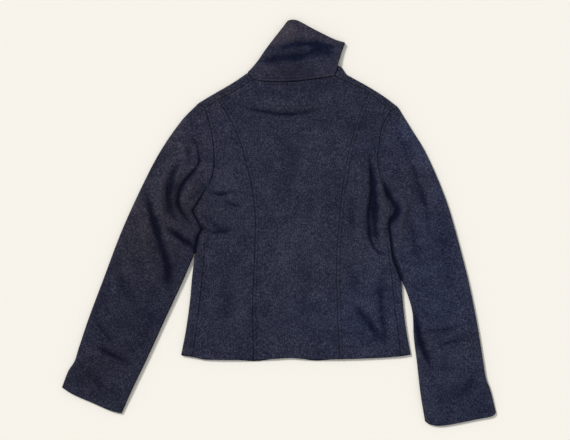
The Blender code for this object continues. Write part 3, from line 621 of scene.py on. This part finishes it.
def makeWall(name, outer, inner, sides, edgeRound, fold=None, cells=None):
    # A closed wall of cloth between two grids of points, with sunk seams and rounded edges, and with
    # attributes of painted shade, painted highlight and painted light patches.
    shape = outer.shape[:2]
    if cells is None:
        cells = np.ones((shape[0] - 1, shape[1] - 1), dtype=bool)
    used = usedPoints(cells)
    left, right = fromEnds(outer, used)
    bottom, top = (distance.T for distance in fromEnds(outer.transpose(1, 0, 2), used.T))
    distances = {"left": left, "right": right, "bottom": bottom, "top": top}

    number = np.arange(shape[0] * shape[1]).reshape(shape)
    corners = (number[:-1, :-1], number[:-1, 1:], number[1:, 1:], number[1:, :-1])
    quads = np.stack([corner[cells] for corner in corners], axis=1)
    # The border is made of the edges that only one face has.
    edges = np.concatenate([quads[:, [i, (i + 1) % 4]] for i in range(4)])
    owner = np.tile(np.arange(len(quads)), 4)
    pairs = edges.min(1).astype(np.int64) * number.size + edges.max(1)
    _, firstSeen, count = np.unique(pairs, return_index=True, return_counts=True)
    border = firstSeen[count == 1]
    borderEdges, borderOwner = edges[border], owner[border]

    # Along each side the cloth sinks into the seam or rounds off, and an allowance lifts it. Painted shade
    # darkens the seams and the edges, and a painted highlight lies over each allowance.
    through = unit(outer - inner)
    sink, tuck, rise, paintedShade, paintedHighlight = (np.zeros(shape) for _ in range(5))
    faint = seamStrength(outer[..., :2])
    for side, (kind, ridge, line) in sides.items():
        distance = distances[side]
        radius = {"seam": seams["sink"], "side": seams["sideSink"]}.get(kind, edgeRound)
        least = seams["faintSink"]
        fall = roundOff(distance, radius) * (least + (1 - least) * faint if kind == "seam" else 1)
        sink = np.maximum(sink, fall)
        if kind in ("edge", "hem"):
            tuck = np.maximum(tuck, fall)
        reach = seams["hemShade"] if kind == "hem" else seams["shadow"]
        fading = faint if kind == "seam" else 1
        paintedShade = np.maximum(paintedShade, line * fading * bell(distance, reach))
        if ridge:
            share = ridge / seams["fullRidge"]
            rise += ridge * pressed(distance)
            strength, past, halfWidth = shades["secondLine"]
            paintedShade += strength * share * faint * bell(distance - seams["allowance"] - past, halfWidth)
            strength, halfWidth = shades["paintedHighlight"]
            paintedHighlight += strength * share * bell(distance - seams["allowance"] / 2, halfWidth)
    sink = sink.reshape(-1)
    if "seam" in [kind for kind, _, _ in sides.values()]:
        sink[borderEdges.reshape(-1)] = np.maximum(sink[borderEdges.reshape(-1)], seams["sideSink"])
    sink = sink.reshape(shape)
    share, change, wavelength, seed = seams["uneven"]
    uneven = share + change * ripple(outer[..., :2], wavelength, seed)
    outerDone = outer + through * (rise * uneven - sink)[..., None]
    innerDone = inner + through * tuck[..., None]

    # Every border point moves inward by half a seam gap.
    outerFlat, innerFlat = outerDone.reshape(-1, 3), innerDone.reshape(-1, 3)
    middle = outerFlat[quads[borderOwner]].mean(1) - outerFlat[borderEdges].mean(1)
    edgeWay = unit(outerFlat[borderEdges[:, 1]] - outerFlat[borderEdges[:, 0]])
    inward = unit(middle - edgeWay * (middle * edgeWay).sum(1, keepdims=True))
    pull = np.zeros_like(outerFlat)
    for end in (0, 1):
        np.add.at(pull, borderEdges[:, end], inward)
    pull *= laid["seamGap"] / 2 / np.maximum((pull**2).sum(1, keepdims=True) / 2, 0.6)
    outerFlat, innerFlat = outerFlat + pull, innerFlat + pull
    outerFlat[:, 2] = np.maximum(outerFlat[:, 2], 0.0)
    innerFlat[:, 2] = np.maximum(innerFlat[:, 2], 0.0)

    kept = np.flatnonzero(used.reshape(-1))
    order = np.full(number.size, -1)
    order[kept] = np.arange(len(kept))
    quads, borderEdges = order[quads], order[borderEdges]
    size = len(kept)
    rims = np.concatenate([borderEdges[:, ::-1], borderEdges + size], axis=1)
    faces = np.concatenate([quads, quads[:, ::-1] + size, rims])
    points = np.concatenate([outerFlat[kept], innerFlat[kept]])
    # The faces look outward where the closed wall holds a volume above 0.
    a, b, c, d = (points[faces[:, i]] for i in range(4))
    volume = (np.cross(b - a, c - a) * a).sum() + (np.cross(c - a, d - a) * a).sum()
    if volume < 0:
        faces = faces[:, ::-1]

    # Painted shade of the troughs and painted highlight of the ridges join those of the seams; painted
    # shade also goes where the folds touch, the wool is lighter along the folded outer edges, and painted
    # light and shade patches are added.
    if fold is not None:
        paintedShade = np.maximum(paintedShade, fold[0]) + shades["least"] * np.minimum(paintedShade, fold[0])
        paintedHighlight += fold[1]
    strength, halfWidth = shades["touching"]
    touching = np.clip(strength * bell(distanceTo(points[:, :2], touchCurves), halfWidth), 0, 1)
    outline = bell(distanceTo(points[:, :2], outlineCurves), shades["outline"])
    paintedBrightness, paintedWarmth = paintedLightPatches(points[:, :2])
    values = {
        "paintedShade": np.maximum(np.tile(np.clip(paintedShade, 0, 1).reshape(-1)[kept], 2), touching),
        "paintedHighlight": np.tile(np.clip(paintedHighlight, 0, 1).reshape(-1)[kept], 2),
        "outline": outline * (1 - touching),
        "paintedBrightness": paintedBrightness,
        "paintedWarmth": paintedWarmth,
    }
    uv = np.stack([left.reshape(-1)[kept], bottom.reshape(-1)[kept]], axis=1)
    napGround.append((outerFlat[kept], quads if volume >= 0 else quads[:, ::-1]))
    return linkObject(name, drawMesh(name, points, faces, np.concatenate([uv, uv]), values))


def floorLift(plan, lay, *foldEdges):
    # How far the layer underneath lifts: never into the upper layer, and not beside a fold.
    room = np.maximum(lay.height(plan) - 2 * laid["cloth"] - laid["leastAir"], 0)
    fromFold = np.minimum(*(distanceTo(plan, edge) for edge in foldEdges))
    return np.minimum(foldRelief(plan, floorFolds), room) * (1 - bell(fromFold, laid["settleReach"]))


# The pieces

# Each piece's sides: the kind of edge, the height of its allowance and how dark its painted shade line is.
edgings = {
    "backCentre": {"left": ("seam", 0.00042, 0.66), "right": ("seam", 0.00020, 0.36),
                   "bottom": ("edge", 0, 0.4), "top": ("seam", 0.00020, 0.80)},
    "backSideLeft": {"left": ("seam", 0.00024, 0.80), "right": ("seam", 0.00016, 0.66),
                     "bottom": ("edge", 0, 0.4), "top": ("seam", 0.00022, 0.40)},
    "backSideRight": {"left": ("seam", 0.00024, 0.80), "right": ("seam", 0.00052, 0.36),
                      "bottom": ("edge", 0, 0.4), "top": ("seam", 0.00022, 0.40)},
    "front": {"left": ("edge", 0, 0), "right": ("seam", 0.00026, 0.40),
              "bottom": ("hem", 0, 0.9), "top": ("seam", 0.00046, 0.45)},
    "sleeve": {"left": ("side", 0, 0), "right": ("side", 0, 0),
               "bottom": ("edge", 0, 0.5), "top": ("seam", 0.00030, 0.90)},
    "collar": {"left": ("edge", 0, 0), "right": ("edge", 0, 0),
               "bottom": ("seam", 0.00060, 1.0), "top": ("edge", 0, 0)},
}


def upperWall(name, plan, lay, sides):
    height = lay.height(plan)
    return makeWall(name, sheetOf(plan, height), sheetOf(plan, height - laid["cloth"]), sides,
                    seams["edgeRound"], foldShade(plan, lay.folds))


def makeBackCentre(left, right, lay):
    upper, u = divideRuns([left["shoulderNeck"], smooth(place(neckSeam)), right["shoulderNeck"][::-1]])
    v = divide(lengthOf(left["princess"]))
    lower = hemBetween(left["hemXs"]["princess"], right["hemXs"]["princess"], u)
    plan = coons(lower, upper, along(left["princess"], v), along(right["princess"], v), u, v)
    return upperWall("backCentre", plan, lay, edgings["backCentre"])


def makeBackSide(name, side, lay):
    edge, v = divideRuns([side["sideSeam"], side["armhole"]])
    hemXs = side["hemXs"]["sideSeam"], side["hemXs"]["princess"]
    u = divide((lengthOf(side["shoulderSide"]) + lengthOf(hemBetween(*hemXs, np.linspace(0, 1, 9)))) / 2)
    lower, upper = hemBetween(*hemXs, u), along(side["shoulderSide"], u)
    plan = coons(lower, upper, edge, along(side["princess"], v), u, v)
    return upperWall(name, plan, lay, edgings[name])


def makeFront(name, side, lay):
    # The front lies on the floor and turns over the side and the shoulder onto the back.
    shoulder = side["shoulderFold"]
    neck = side["frontNeck"]
    cell = mesh["floorCell"]
    neckPoints, neckShares = divideRuns([neck], True, False, cell)
    shoulderShares = divide(lengthOf(shoulder), False, True, mesh["shoulderCell"])
    upper = join(neckPoints, along(shoulder, shoulderShares))
    neckColumns = len(neckPoints) - 1
    neckLength, shoulderLength = lengthOf(neck), lengthOf(shoulder)
    u = np.concatenate([neckShares * neckLength, neckLength + shoulderShares[1:] * shoulderLength])
    u /= neckLength + shoulderLength
    lower = hemBetween(side["hemXs"]["frontEdge"], side["hemXs"]["sideFold"], u, True)

    foldEdge, foldShares = divideRuns([side["sideFold"], side["sharedFold"]], cell=mesh["sideCell"])
    tipRun = np.vstack([side["armhole"][-1:], shoulder[-1:]])
    armRun, _ = divideRuns([side["armhole"], tipRun], False, True, cell)
    edge = join(foldEdge, armRun)
    sideRows = len(foldEdge)
    v = travelled(edge) / lengthOf(edge)
    plan = coons(lower, upper, along(side["frontEdge"], v), edge, u, v)
    rowCount, columnCount = plan.shape[0] - 1, plan.shape[1] - 1

    radius = laid["stack"] / 2
    sideSeam = along(side["sideSeam"], foldShares)
    sideEdge = plan[:sideRows, -1]
    across = unit(sideSeam - sideEdge)
    shoulderEdge = upper[neckColumns:]
    seamLine = along(side["shoulderSeam"][::-1], shoulderShares)
    over = unit(seamLine - shoulderEdge)
    angles = np.linspace(0, math.pi, mesh["foldSteps"] + 1)
    # Between the fold and the seam the cloth lies on the back: even steps, then close ones at the seam.
    span = divide(mesh["overLength"], False, True, mesh["overCell"])[1:]

    def overTheTop(edgeLine, toward, seam, inset):
        start = edgeLine + toward * radius
        height = lay.height(start)
        turned = turnOver(edgeLine, toward, radius, height, angles, inset)
        flat = start[:, None] + (seam - start)[:, None] * span[None, :, None]
        return np.concatenate([turned, sheetOf(flat, lay.height(flat) - inset)], axis=1)

    extra = mesh["foldSteps"] + len(span)
    lift = floorLift(plan, lay, sideEdge, shoulderEdge)
    faces = []
    for inset in (0.0, laid["cloth"]):
        grid = np.zeros((rowCount + extra + 1, columnCount + extra + 1, 3))
        grid[:rowCount + 1, :columnCount + 1] = sheetOf(plan, inset + lift)
        grid[:sideRows, columnCount:] = overTheTop(sideEdge, across, sideSeam, inset)
        overShoulder = overTheTop(shoulderEdge, over, seamLine, inset)
        grid[rowCount:, neckColumns:columnCount + 1] = overShoulder.transpose(1, 0, 2)
        faces.append(grid)
    cells = np.zeros((rowCount + extra, columnCount + extra), dtype=bool)
    cells[:rowCount, :columnCount] = True
    cells[:sideRows - 1, columnCount:] = True
    cells[rowCount:, neckColumns:columnCount] = True
    return makeWall(name, faces[0], faces[1], edgings["front"], seams["edgeRound"], None, cells)


def inwardFrom(plan):
    # The left and the right edge of a grid, each with its directions into the cloth.
    return [(plan[:, 0], unit(plan[:, 1] - plan[:, 0])), (plan[:, -1], unit(plan[:, -2] - plan[:, -1]))]


def makeSleeve(name, side, lay):
    # Two pieces, seamed along the middle of both folds: one on the floor and one over it.
    return (makeSleeveHalf(name + "Front", side, lay, True, mesh["floorCell"]),
            makeSleeveHalf(name + "Back", side, lay, False, mesh["cell"]))


def makeSleeveHalf(name, side, lay, onFloor, cell):
    outerLine, innerLine = side["sleeveOuter"], join(side["sleeveInner"], side["sharedFold"])
    v = divide(lengthOf(outerLine), cell=cell)
    tipRun = np.vstack([side["shoulderFold"][-1:], side["armhole"][-1:]])
    wholeTop = join(tipRun, side["armhole"][::-1])
    least = mesh["sleeveEdge"]
    count = math.ceil(lengthOf(wholeTop) * (1 - 2 * least) / cell)
    u = np.concatenate([[0], np.linspace(least, 1 - least, count + 1), [1]])
    upper = along(wholeTop, u)
    lower = along(side["cuff"], u)
    plan = coons(lower, upper, along(outerLine, v), along(innerLine, v), u, v)
    radius = laid["stack"] / 2
    turns = inwardFrom(plan)
    heights = [lay.height(edge + toward * (radius + laid["foldGap"])) for edge, toward in turns]
    middle = plan[:, 1:-1]
    middleHeight = lay.height(middle)
    lift = floorLift(middle, lay, plan[:, 0], plan[:, -1]) if onFloor else None
    evenSteps = np.linspace(mesh["evenTurn"], 1, mesh["foldSteps"] // 2 - 1)
    turn = np.concatenate([mesh["seamTurn"], evenSteps]) * math.pi / 2
    angles = math.pi / 2 - turn if onFloor else math.pi / 2 + turn
    faces = []
    for inset in (0.0, laid["cloth"]):
        level = inset + lift if onFloor else middleHeight - inset
        turned = [turnOver(edge, toward, radius, height, angles, inset, laid["foldGap"])
                  for (edge, toward), height in zip(turns, heights)]
        faces.append(np.concatenate([turned[0], sheetOf(middle, level), turned[1][:, ::-1]], axis=1))
    # Painted shade and painted highlight of the folds, on the upper half only.
    paintedFoldShade = None if onFloor else foldShade(faces[0][..., :2], lay.folds)
    return makeWall(name, faces[0], faces[1], edgings["sleeve"], seams["edgeRound"], paintedFoldShade)


def underCollar(side, edge, shares, v):
    # The half of the collar that lies on the floor, from the centre front to the fold.
    lower = along(side["frontNeck"], shares)
    frontTop = lower[0] + (0, laid["collarFront"] * laid["step"])
    upper = frontTop + (edge[-1] - frontTop) * shares[:, None]
    frontEdge = lower[0] + (frontTop - lower[0]) * v[:, None]
    return coons(lower, upper, frontEdge, edge, shares, v)


def makeCollar(left, right, lay):
    # One wall round the neck, from centre front under the left fold, over the back and under again.
    cell = mesh["collarCell"]
    neck = np.vstack([left["collarFold"][:1], smooth(place(neckSeam)), right["collarFold"][:1]])
    v = divide(lengthOf(left["collarFold"]), True, True, cell)
    least = mesh["collarEdge"]
    count = math.ceil(lengthOf(neck) * (1 - 2 * least) / cell)
    u = np.concatenate([[0], np.linspace(least, 1 - least, count + 1), [1]])
    lower, upper = along(neck, u), along(smooth(place(collarTop)), u)
    top = coons(lower, upper, along(left["collarFold"], v), along(right["collarFold"], v), u, v)
    frontShares = divide(lengthOf(left["frontNeck"]), True, False, cell)
    leftUnder = underCollar(left, top[:, 0], frontShares, v)[:, :-1]
    rightUnder = underCollar(right, top[:, -1], frontShares, v)[:, :-1]
    radius = laid["collarStack"] / 2
    turns = inwardFrom(top)
    heights = [lay.height(edge + toward * radius) for edge, toward in turns]
    angles = np.linspace(0, math.pi, mesh["collarSteps"] + 1)
    middle = top[:, 1:-1]
    faces = []
    for inset in (0.0, laid["collarCloth"]):
        rounds = [turnOver(edge, toward, radius, height, angles, inset)
                  for (edge, toward), height in zip(turns, heights)]
        faces.append(np.concatenate([
            sheetOf(leftUnder, inset), rounds[0], sheetOf(middle, lay.height(middle) - inset),
            rounds[1][:, ::-1], sheetOf(rightUnder, inset)[:, ::-1]], axis=1))
    # Painted shade and painted highlight of the folds, only on the collar's upper face.
    onTop = faces[0][..., 2] > laid["collarTopFrom"]
    paintedFoldShade = [shade * onTop for shade in foldShade(faces[0][..., :2], lay.folds)]
    return makeWall("collarTurnedUp", faces[0], faces[1], edgings["collar"],
                    seams["collarEdgeRound"], paintedFoldShade)


left, right = readCurves(leftSide), readCurves(rightSide)
foldNames = ("sideFold", "sharedFold", "shoulderFold", "sleeveOuter", "sleeveInner")
foldCurves = np.vstack([side[name][::4] for side in (left, right) for name in foldNames])
openCurves = np.vstack([smooth(place(backHem)), left["cuff"], right["cuff"]])
collarEdges = np.vstack([left["collarFold"], right["collarFold"]])
openFolds = [side[name][::4] for side in (left, right) for name in foldNames if name != "sharedFold"]
outlineCurves = np.vstack([*openFolds, collarEdges[::3], smooth(place(collarTop))[::3]])
touchCurves = np.vstack([left["sharedFold"][::2], right["sharedFold"][::2]])
napGround = []
bodyLay = Lay(foldCurves, openCurves, laid["stack"], laid["puff"],
              laid["openStack"], laid["cloth"], bodyFolds)
collarLay = Lay(collarEdges, smooth(place(collarTop)), laid["collarStack"], laid["collarPuff"],
                laid["collarOpenStack"], laid["collarCloth"], collarFolds)

backCentre = makeBackCentre(left, right, bodyLay)
backSideLeft = makeBackSide("backSideLeft", left, bodyLay)
backSideRight = makeBackSide("backSideRight", right, bodyLay)
print("back made")
frontLeft = makeFront("frontLeft", left, bodyLay)
frontRight = makeFront("frontRight", right, bodyLay)
print("fronts made")
sleeveLeftFront, sleeveLeftBack = makeSleeve("sleeveLeft", left, bodyLay)
sleeveRightFront, sleeveRightBack = makeSleeve("sleeveRight", right, bodyLay)
collar = makeCollar(left, right, collarLay)
print("sleeves and collar made")


# Finishes


class Wire:
    # A node's output that takes part in sums.

    def __init__(self, recipe, socket):
        self.recipe, self.socket = recipe, socket

    def sum(self, operation, first, second):
        return self.recipe.node("ShaderNodeMath", {"operation": operation}, {0: first, 1: second})

    def __add__(self, other):
        return self.sum("ADD", self, other)

    def __radd__(self, other):
        return self.sum("ADD", other, self)

    def __sub__(self, other):
        return self.sum("SUBTRACT", self, other)

    def __rsub__(self, other):
        return self.sum("SUBTRACT", other, self)

    def __mul__(self, other):
        return self.sum("MULTIPLY", self, other)

    def __rmul__(self, other):
        return self.sum("MULTIPLY", other, self)

    def atLeast(self, other):
        return self.sum("MAXIMUM", self, other)

    def atMost(self, other):
        return self.sum("MINIMUM", self, other)


def addNode(tree, kind, settings, sockets):
    # A node with its settings, and each socket linked or set.
    made = tree.nodes.new(kind)
    for key, value in (settings or {}).items():
        setattr(made, key, value)
    for key, value in (sockets or {}).items():
        value = value.socket if isinstance(value, Wire) else value
        if isinstance(value, bpy.types.NodeSocket):
            tree.links.new(value, made.inputs[key])
        else:
            made.inputs[key].default_value = value
    return made


class Recipe:
    # A material, node by node.

    def __init__(self, name):
        self.material = bpy.data.materials.new(name)
        self.material.use_nodes = True
        self.tree = self.material.node_tree
        self.tree.nodes.clear()

    def node(self, kind, settings=None, sockets=None, output=0):
        made = addNode(self.tree, kind, settings, sockets)
        return Wire(self, made.outputs[output]) if made.outputs else None

    def noise(self, place, scale, detail, roughness):
        return self.node("ShaderNodeTexNoise", {"noise_dimensions": "3D"}, {
            "Vector": place, "Scale": scale, "Detail": detail, "Roughness": roughness})

    def ramp(self, factor, stops):
        wire = self.node("ShaderNodeValToRGB", None, {0: factor})
        elements = wire.socket.node.color_ramp.elements
        while len(elements) < len(stops):
            elements.new(0.5)
        for element, (position, colour) in zip(elements, stops):
            element.position, element.color = position, (*colour, 1.0)
        return wire

    def vector(self, operation, sockets):
        return self.node("ShaderNodeVectorMath", {"operation": operation}, sockets)

    def mixColours(self, factor, first, second):
        return self.node("ShaderNodeMix", {"data_type": "RGBA", "blend_type": "MIX", "clamp_factor": True},
                         {0: factor, 6: first, 7: second}, 2)

    def finish(self, shader):
        self.node("ShaderNodeOutputMaterial", None, {"Surface": shader})
        return self.material


def plainFinish(name, colour):
    recipe = Recipe(name)
    return recipe.finish(recipe.node("ShaderNodeBsdfPrincipled", None, {
        "Base Color": (*colour, 1.0), "Roughness": 0.9, "Specular IOR Level": 0.1}))


# Colours of the melton, how far each shade reaches, and its shine.
wool = {
    "dark": (0.0079, 0.0092, 0.0220), "middle": (0.0189, 0.0209, 0.0392), "light": (0.0510, 0.0532, 0.0795),
    # The next line's first colour is the one that painted highlights over crowns and the lighter folded
    # edges lead to; its second is the colour of painted shade in troughs, seams and where folds touch.
    "lightened": (0.0450, 0.0390, 0.0420), "trough": (0.0016, 0.0024, 0.0115),
    "darkAt": 0.14, "middleAt": 0.50, "lightAt": 0.90,  # on the heather, from 0 to 1
    "warm": (0.11, 0.01, -0.10),                        # what full painted warmth adds to each colour
    # How strong the painted highlight and the lighter folded edges are, and how dark the painted shade
    # gets.
    "paintedHighlightStrength": 0.22, "outlineLightening": 0.20, "mostLightening": 0.5,
    "hollowDark": 0.78, "hollowMottle": 0.32, "mostDark": 0.93,
    "troughLeast": 0.1, "troughHeather": 1.8,           # the heather keeps showing in a trough
    "bumpHeight": 0.00050, "bumpStrength": 0.8,
    "roughness": 0.86, "feltRoughness": 0.12,
    "sheen": 0.04, "sheenRoughness": 0.45, "sheenTint": (0.68, 0.67, 0.80, 1.0), "shine": 0.08,
}
# The collar's wool, with its own colours, and its own colours for the painted highlight and the painted
# shade.
collarWool = dict(wool, dark=(0.0100, 0.0109, 0.0245), middle=(0.0220, 0.0228, 0.0415),
                  light=(0.0530, 0.0540, 0.0790), lightened=(0.0560, 0.0450, 0.0460),
                  trough=(0.0034, 0.0060, 0.0215))


# The grains that make the wool, and how much each changes its colour and its bump.
grainColumns = ("name", "scale", "detail", "roughness", "inColour", "inBump")
grains = (
    ("flecks", 400.0, 1.0, 0.6, 1.60, 0.0),
    ("mottle", 170.0, 2.0, 0.55, 0.42, 0.0),
    ("patches", 42.0, 3.0, 0.55, 0.55, 0.0),
    ("drift", 7.0, 2.0, 0.5, 0.25, 0.0),
    ("felt", 900.0, 3.0, 0.65, 0.0, 0.5),
    ("pills", 300.0, 2.0, 0.5, 0.0, 0.7),
    ("streaks", 420.0, 1.0, 0.55, 0.85, 0.35),  # along the cloth
)
streakStretch = (1.0, 0.42, 1.0)


def melton(name, look):
    recipe = Recipe(name)
    onPiece = recipe.node("ShaderNodeTexCoord", None, None, 3)
    uv = recipe.node("ShaderNodeUVMap", {"uv_map": "cloth"})
    onCloth = recipe.vector("MULTIPLY", {0: uv, 1: streakStretch})
    grain, heather, bumps = {}, 0.5, 0.0
    for row in rows(grainColumns, grains):
        where = onCloth if row["name"] == "streaks" else onPiece
        made = recipe.noise(where, row["scale"], row["detail"], row["roughness"])
        grain[row["name"]] = made
        if row["inColour"]:
            heather = heather + (made - 0.5) * row["inColour"]
        if row["inBump"]:
            bumps = bumps + made * row["inBump"]
    mottle, felt = grain["mottle"], grain["felt"]
    stops = [(look[shade + "At"], look[shade]) for shade in ("dark", "middle", "light")]
    colour = recipe.ramp(heather, stops)
    # The cloth's painted shade, painted highlight, lighter folded edges, and painted light and shade
    # patches.
    paintedShade, paintedHighlight, outline, paintedBrightness, paintedWarmth = (
        recipe.node("ShaderNodeAttribute", {"attribute_name": key}, None, 2)
        for key in ("paintedShade", "paintedHighlight", "outline", "paintedBrightness", "paintedWarmth"))
    # Painted light and shade patches make the colour lighter or darker, and warmer or bluer.
    tint = recipe.vector("SCALE", {0: look["warm"], "Scale": paintedWarmth})
    tint = recipe.vector("ADD", {0: tint, 1: (1.0, 1.0, 1.0)})
    tint = recipe.vector("SCALE", {0: tint, "Scale": paintedBrightness})
    # Painted highlight over the crowns, and lighter colour along the folded outer edges.
    high = paintedHighlight * look["paintedHighlightStrength"] + outline * mottle * look["outlineLightening"]
    colour = recipe.mixColours(high.atLeast(0.0).atMost(look["mostLightening"]), colour, (*look["lightened"], 1.0))
    # Painted shade in troughs, along seams and edges, and where folds touch.
    deep = paintedShade * (look["hollowDark"] + mottle * look["hollowMottle"])
    shown = (look["troughLeast"] + heather * look["troughHeather"]).atLeast(look["troughLeast"])
    trough = recipe.vector("SCALE", {0: look["trough"], "Scale": shown})
    colour = recipe.mixColours(deep.atLeast(0.0).atMost(look["mostDark"]), colour, trough)
    colour = recipe.vector("MULTIPLY", {0: colour, 1: tint})
    bump = recipe.node("ShaderNodeBump", None, {
        "Strength": look["bumpStrength"], "Distance": look["bumpHeight"], "Height": bumps})
    shader = recipe.node("ShaderNodeBsdfPrincipled", None, {
        "Base Color": colour, "Roughness": look["roughness"] + felt * look["feltRoughness"],
        "Normal": bump, "Specular IOR Level": look["shine"], "Sheen Weight": look["sheen"],
        "Sheen Roughness": look["sheenRoughness"], "Sheen Tint": look["sheenTint"]})
    return recipe.finish(shader)


woolFinish = melton("navyMelton", wool)
collarFinish = melton("collarMelton", collarWool)
print("finishes made")

# The raised nap: short curved fibres all over the wool that faces up.
nap = {"perSquareMetre": 9500.0, "length": 0.0030, "rise": 0.0007, "thickness": 0.00005, "seed": 11,
       "facingUp": 0.25, "smallest": 0.5, "largest": 1.3, "colour": (0.050, 0.051, 0.076)}


def napTree(finish):
    tree = bpy.data.node_groups.new("napFibres", "GeometryNodeTree")
    face = tree.interface
    face.new_socket("Geometry", in_out="INPUT", socket_type="NodeSocketGeometry")
    for label, kind in (("Per square metre", "Float"), ("Length", "Float"), ("Rise", "Float"),
                        ("Thickness", "Float"), ("Seed", "Int")):
        face.new_socket(label, in_out="INPUT", socket_type="NodeSocket" + kind)
    face.new_socket("Geometry", in_out="OUTPUT", socket_type="NodeSocketGeometry")

    def node(kind, settings=None, sockets=None):
        return addNode(tree, kind, settings, sockets).outputs

    given = node("NodeGroupInput")
    scatter = node("GeometryNodeDistributePointsOnFaces", None, {
        "Mesh": given["Geometry"], "Density": given["Per square metre"], "Seed": given["Seed"]})
    bend = node("ShaderNodeCombineXYZ", None, {"X": given["Length"], "Z": given["Rise"]})
    halfWay = node("ShaderNodeVectorMath", {"operation": "MULTIPLY"}, {0: bend[0], 1: (0.5, 0.0, 1.0)})
    tip = node("ShaderNodeVectorMath", {"operation": "MULTIPLY"}, {0: bend[0], 1: (1.0, 0.0, 0.35)})
    arc = node("GeometryNodeCurveQuadraticBezier", None, {
        "Resolution": 3, "Start": (0.0, 0.0, 0.0), "Middle": halfWay[0], "End": tip[0]})
    ring = node("GeometryNodeCurvePrimitiveCircle", None, {"Resolution": 3, "Radius": given["Thickness"]})
    fibre = node("GeometryNodeCurveToMesh", None, {
        "Curve": arc["Curve"], "Profile Curve": ring["Curve"], "Fill Caps": True})
    spin = node("FunctionNodeRandomValue", {"data_type": "FLOAT"}, {
        2: 0.0, 3: 2 * math.pi, "Seed": given["Seed"]})
    turn = node("ShaderNodeCombineXYZ", None, {"Z": spin[1]})
    facing = node("FunctionNodeRotateRotation", {"rotation_space": "LOCAL"}, {
        "Rotation": scatter["Rotation"], "Rotate By": turn[0]})
    size = node("FunctionNodeRandomValue", {"data_type": "FLOAT"}, {
        2: nap["smallest"], 3: nap["largest"], "Seed": given["Seed"]})
    copies = node("GeometryNodeInstanceOnPoints", None, {
        "Points": scatter["Points"], "Instance": fibre["Mesh"], "Rotation": facing[0], "Scale": size[1]})
    whole = node("GeometryNodeRealizeInstances", None, {"Geometry": copies["Instances"]})
    dressed = node("GeometryNodeSetMaterial", None, {"Geometry": whole["Geometry"], "Material": finish})
    node("NodeGroupOutput", None, {"Geometry": dressed["Geometry"]})
    return tree


def growNap(finish):
    points, quads, start = [], [], 0
    for corners, faces in napGround:
        a, b, c = (corners[faces[:, i]] for i in range(3))
        faces = faces[unit(np.cross(b - a, c - a))[:, 2] > nap["facingUp"]]
        points.append(corners)
        quads.append(faces + start)
        start += len(corners)
    ground = bpy.data.meshes.new("napGround")
    ground.from_pydata(np.concatenate(points).tolist(), [], np.concatenate(quads).tolist())
    holder = linkObject("napHolder", ground)
    grower = holder.modifiers.new("nap", "NODES")
    grower.node_group = napTree(finish)
    values = {"Per square metre": nap["perSquareMetre"], "Length": nap["length"], "Rise": nap["rise"],
              "Thickness": nap["thickness"], "Seed": nap["seed"]}
    for item in grower.node_group.interface.items_tree:
        if item.in_out == "INPUT" and item.name in values:
            grower[item.identifier] = values[item.name]
    grown = holder.evaluated_get(bpy.context.evaluated_depsgraph_get())
    data = bpy.data.meshes.new_from_object(grown)
    holder.modifiers.remove(grower)
    bpy.data.objects.remove(holder)
    return linkObject("napFibres", data)


napFibres = growNap(plainFinish("napFibre", nap["colour"]))
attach(napFibres, "root")
print("nap grown,", len(napFibres.data.polygons), "faces")

# For each solid: its piece and slot, the width and length that it was cut to, and its flat area.
cuts = {
    "back_centre": (backCentre, "wool", (0.310, 0.585), 0.1130),
    "back_side_left": (backSideLeft, "wool", (0.131, 0.536), 0.0495),
    "back_side_right": (backSideRight, "wool", (0.132, 0.549), 0.0495),
    "front_left": (frontLeft, "wool", (0.236, 0.610), 0.1055),
    "front_right": (frontRight, "wool", (0.262, 0.622), 0.1180),
    "sleeve_left_front": (sleeveLeftFront, "wool", (0.172, 0.662), 0.0825),
    "sleeve_left_back": (sleeveLeftBack, "wool", (0.172, 0.662), 0.0825),
    "sleeve_right_front": (sleeveRightFront, "wool", (0.166, 0.655), 0.0780),
    "sleeve_right_back": (sleeveRightBack, "wool", (0.166, 0.655), 0.0780),
    "collar": (collar, "collar_wool", (0.400, 0.122), 0.0350),
}
for node, (piece, slotName, flat, area) in cuts.items():
    piece.data.materials.append(woolFinish if slotName == "wool" else collarFinish)
    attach(piece, "root")
    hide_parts(node)

# Studio: a plain pale floor, soft light from the upper left, and the camera straight above.
studio = {
    "floorSize": 30.0, "floorColour": (0.885, 0.852, 0.775),
    "sky": (0.985, 0.985, 1.0), "skyStrength": 0.56,
    "keyStrength": 2.5, "keyAngle": 12.0, "keyFrom": (-0.62, 0.62, 0.72),
    "lens": 85.0, "sensor": 36.0, "imageWidth": 570, "imageHeight": 440,
    "floorLevel": -0.0002,        # just under the cloth
    "level": 0.006,               # the height at which one image unit is one step
}
floorData = bpy.data.meshes.new("floor")
half, level = studio["floorSize"] / 2, studio["floorLevel"]
floorCorners = [(-half, -half, level), (half, -half, level), (half, half, level), (-half, half, level)]
floorData.from_pydata(floorCorners, [], [(0, 1, 2, 3)])
floorData.materials.append(plainFinish("paleFloor", studio["floorColour"]))
floor = linkObject("floor", floorData)

world = bpy.data.worlds.new("studio")
bpy.context.scene.world = world
world.use_nodes = True
background = world.node_tree.nodes["Background"]
background.inputs["Color"].default_value = (*studio["sky"], 1.0)
background.inputs["Strength"].default_value = studio["skyStrength"]

sunData = bpy.data.lights.new("key", "SUN")
sunData.energy = studio["keyStrength"]
sunData.angle = math.radians(studio["keyAngle"])
sun = linkObject("key", sunData)
sun.rotation_mode = "QUATERNION"
sun.rotation_quaternion = Vector(studio["keyFrom"]).to_track_quat("Z", "Y")
sun.location = Vector(studio["keyFrom"]) * 2

cameraData = bpy.data.cameras.new("camera")
cameraData.lens = studio["lens"]
cameraData.sensor_width = studio["sensor"]
camera = linkObject("camera", cameraData)
aim = place([(studio["imageWidth"] / 2, studio["imageHeight"] / 2)])[0]
away = studio["imageWidth"] * laid["step"] * studio["lens"] / studio["sensor"]
camera.location = (aim[0], aim[1], studio["level"] + away)
bpy.context.scene.camera = camera
bpy.context.scene.view_settings.view_transform = "Standard"
print("studio made")
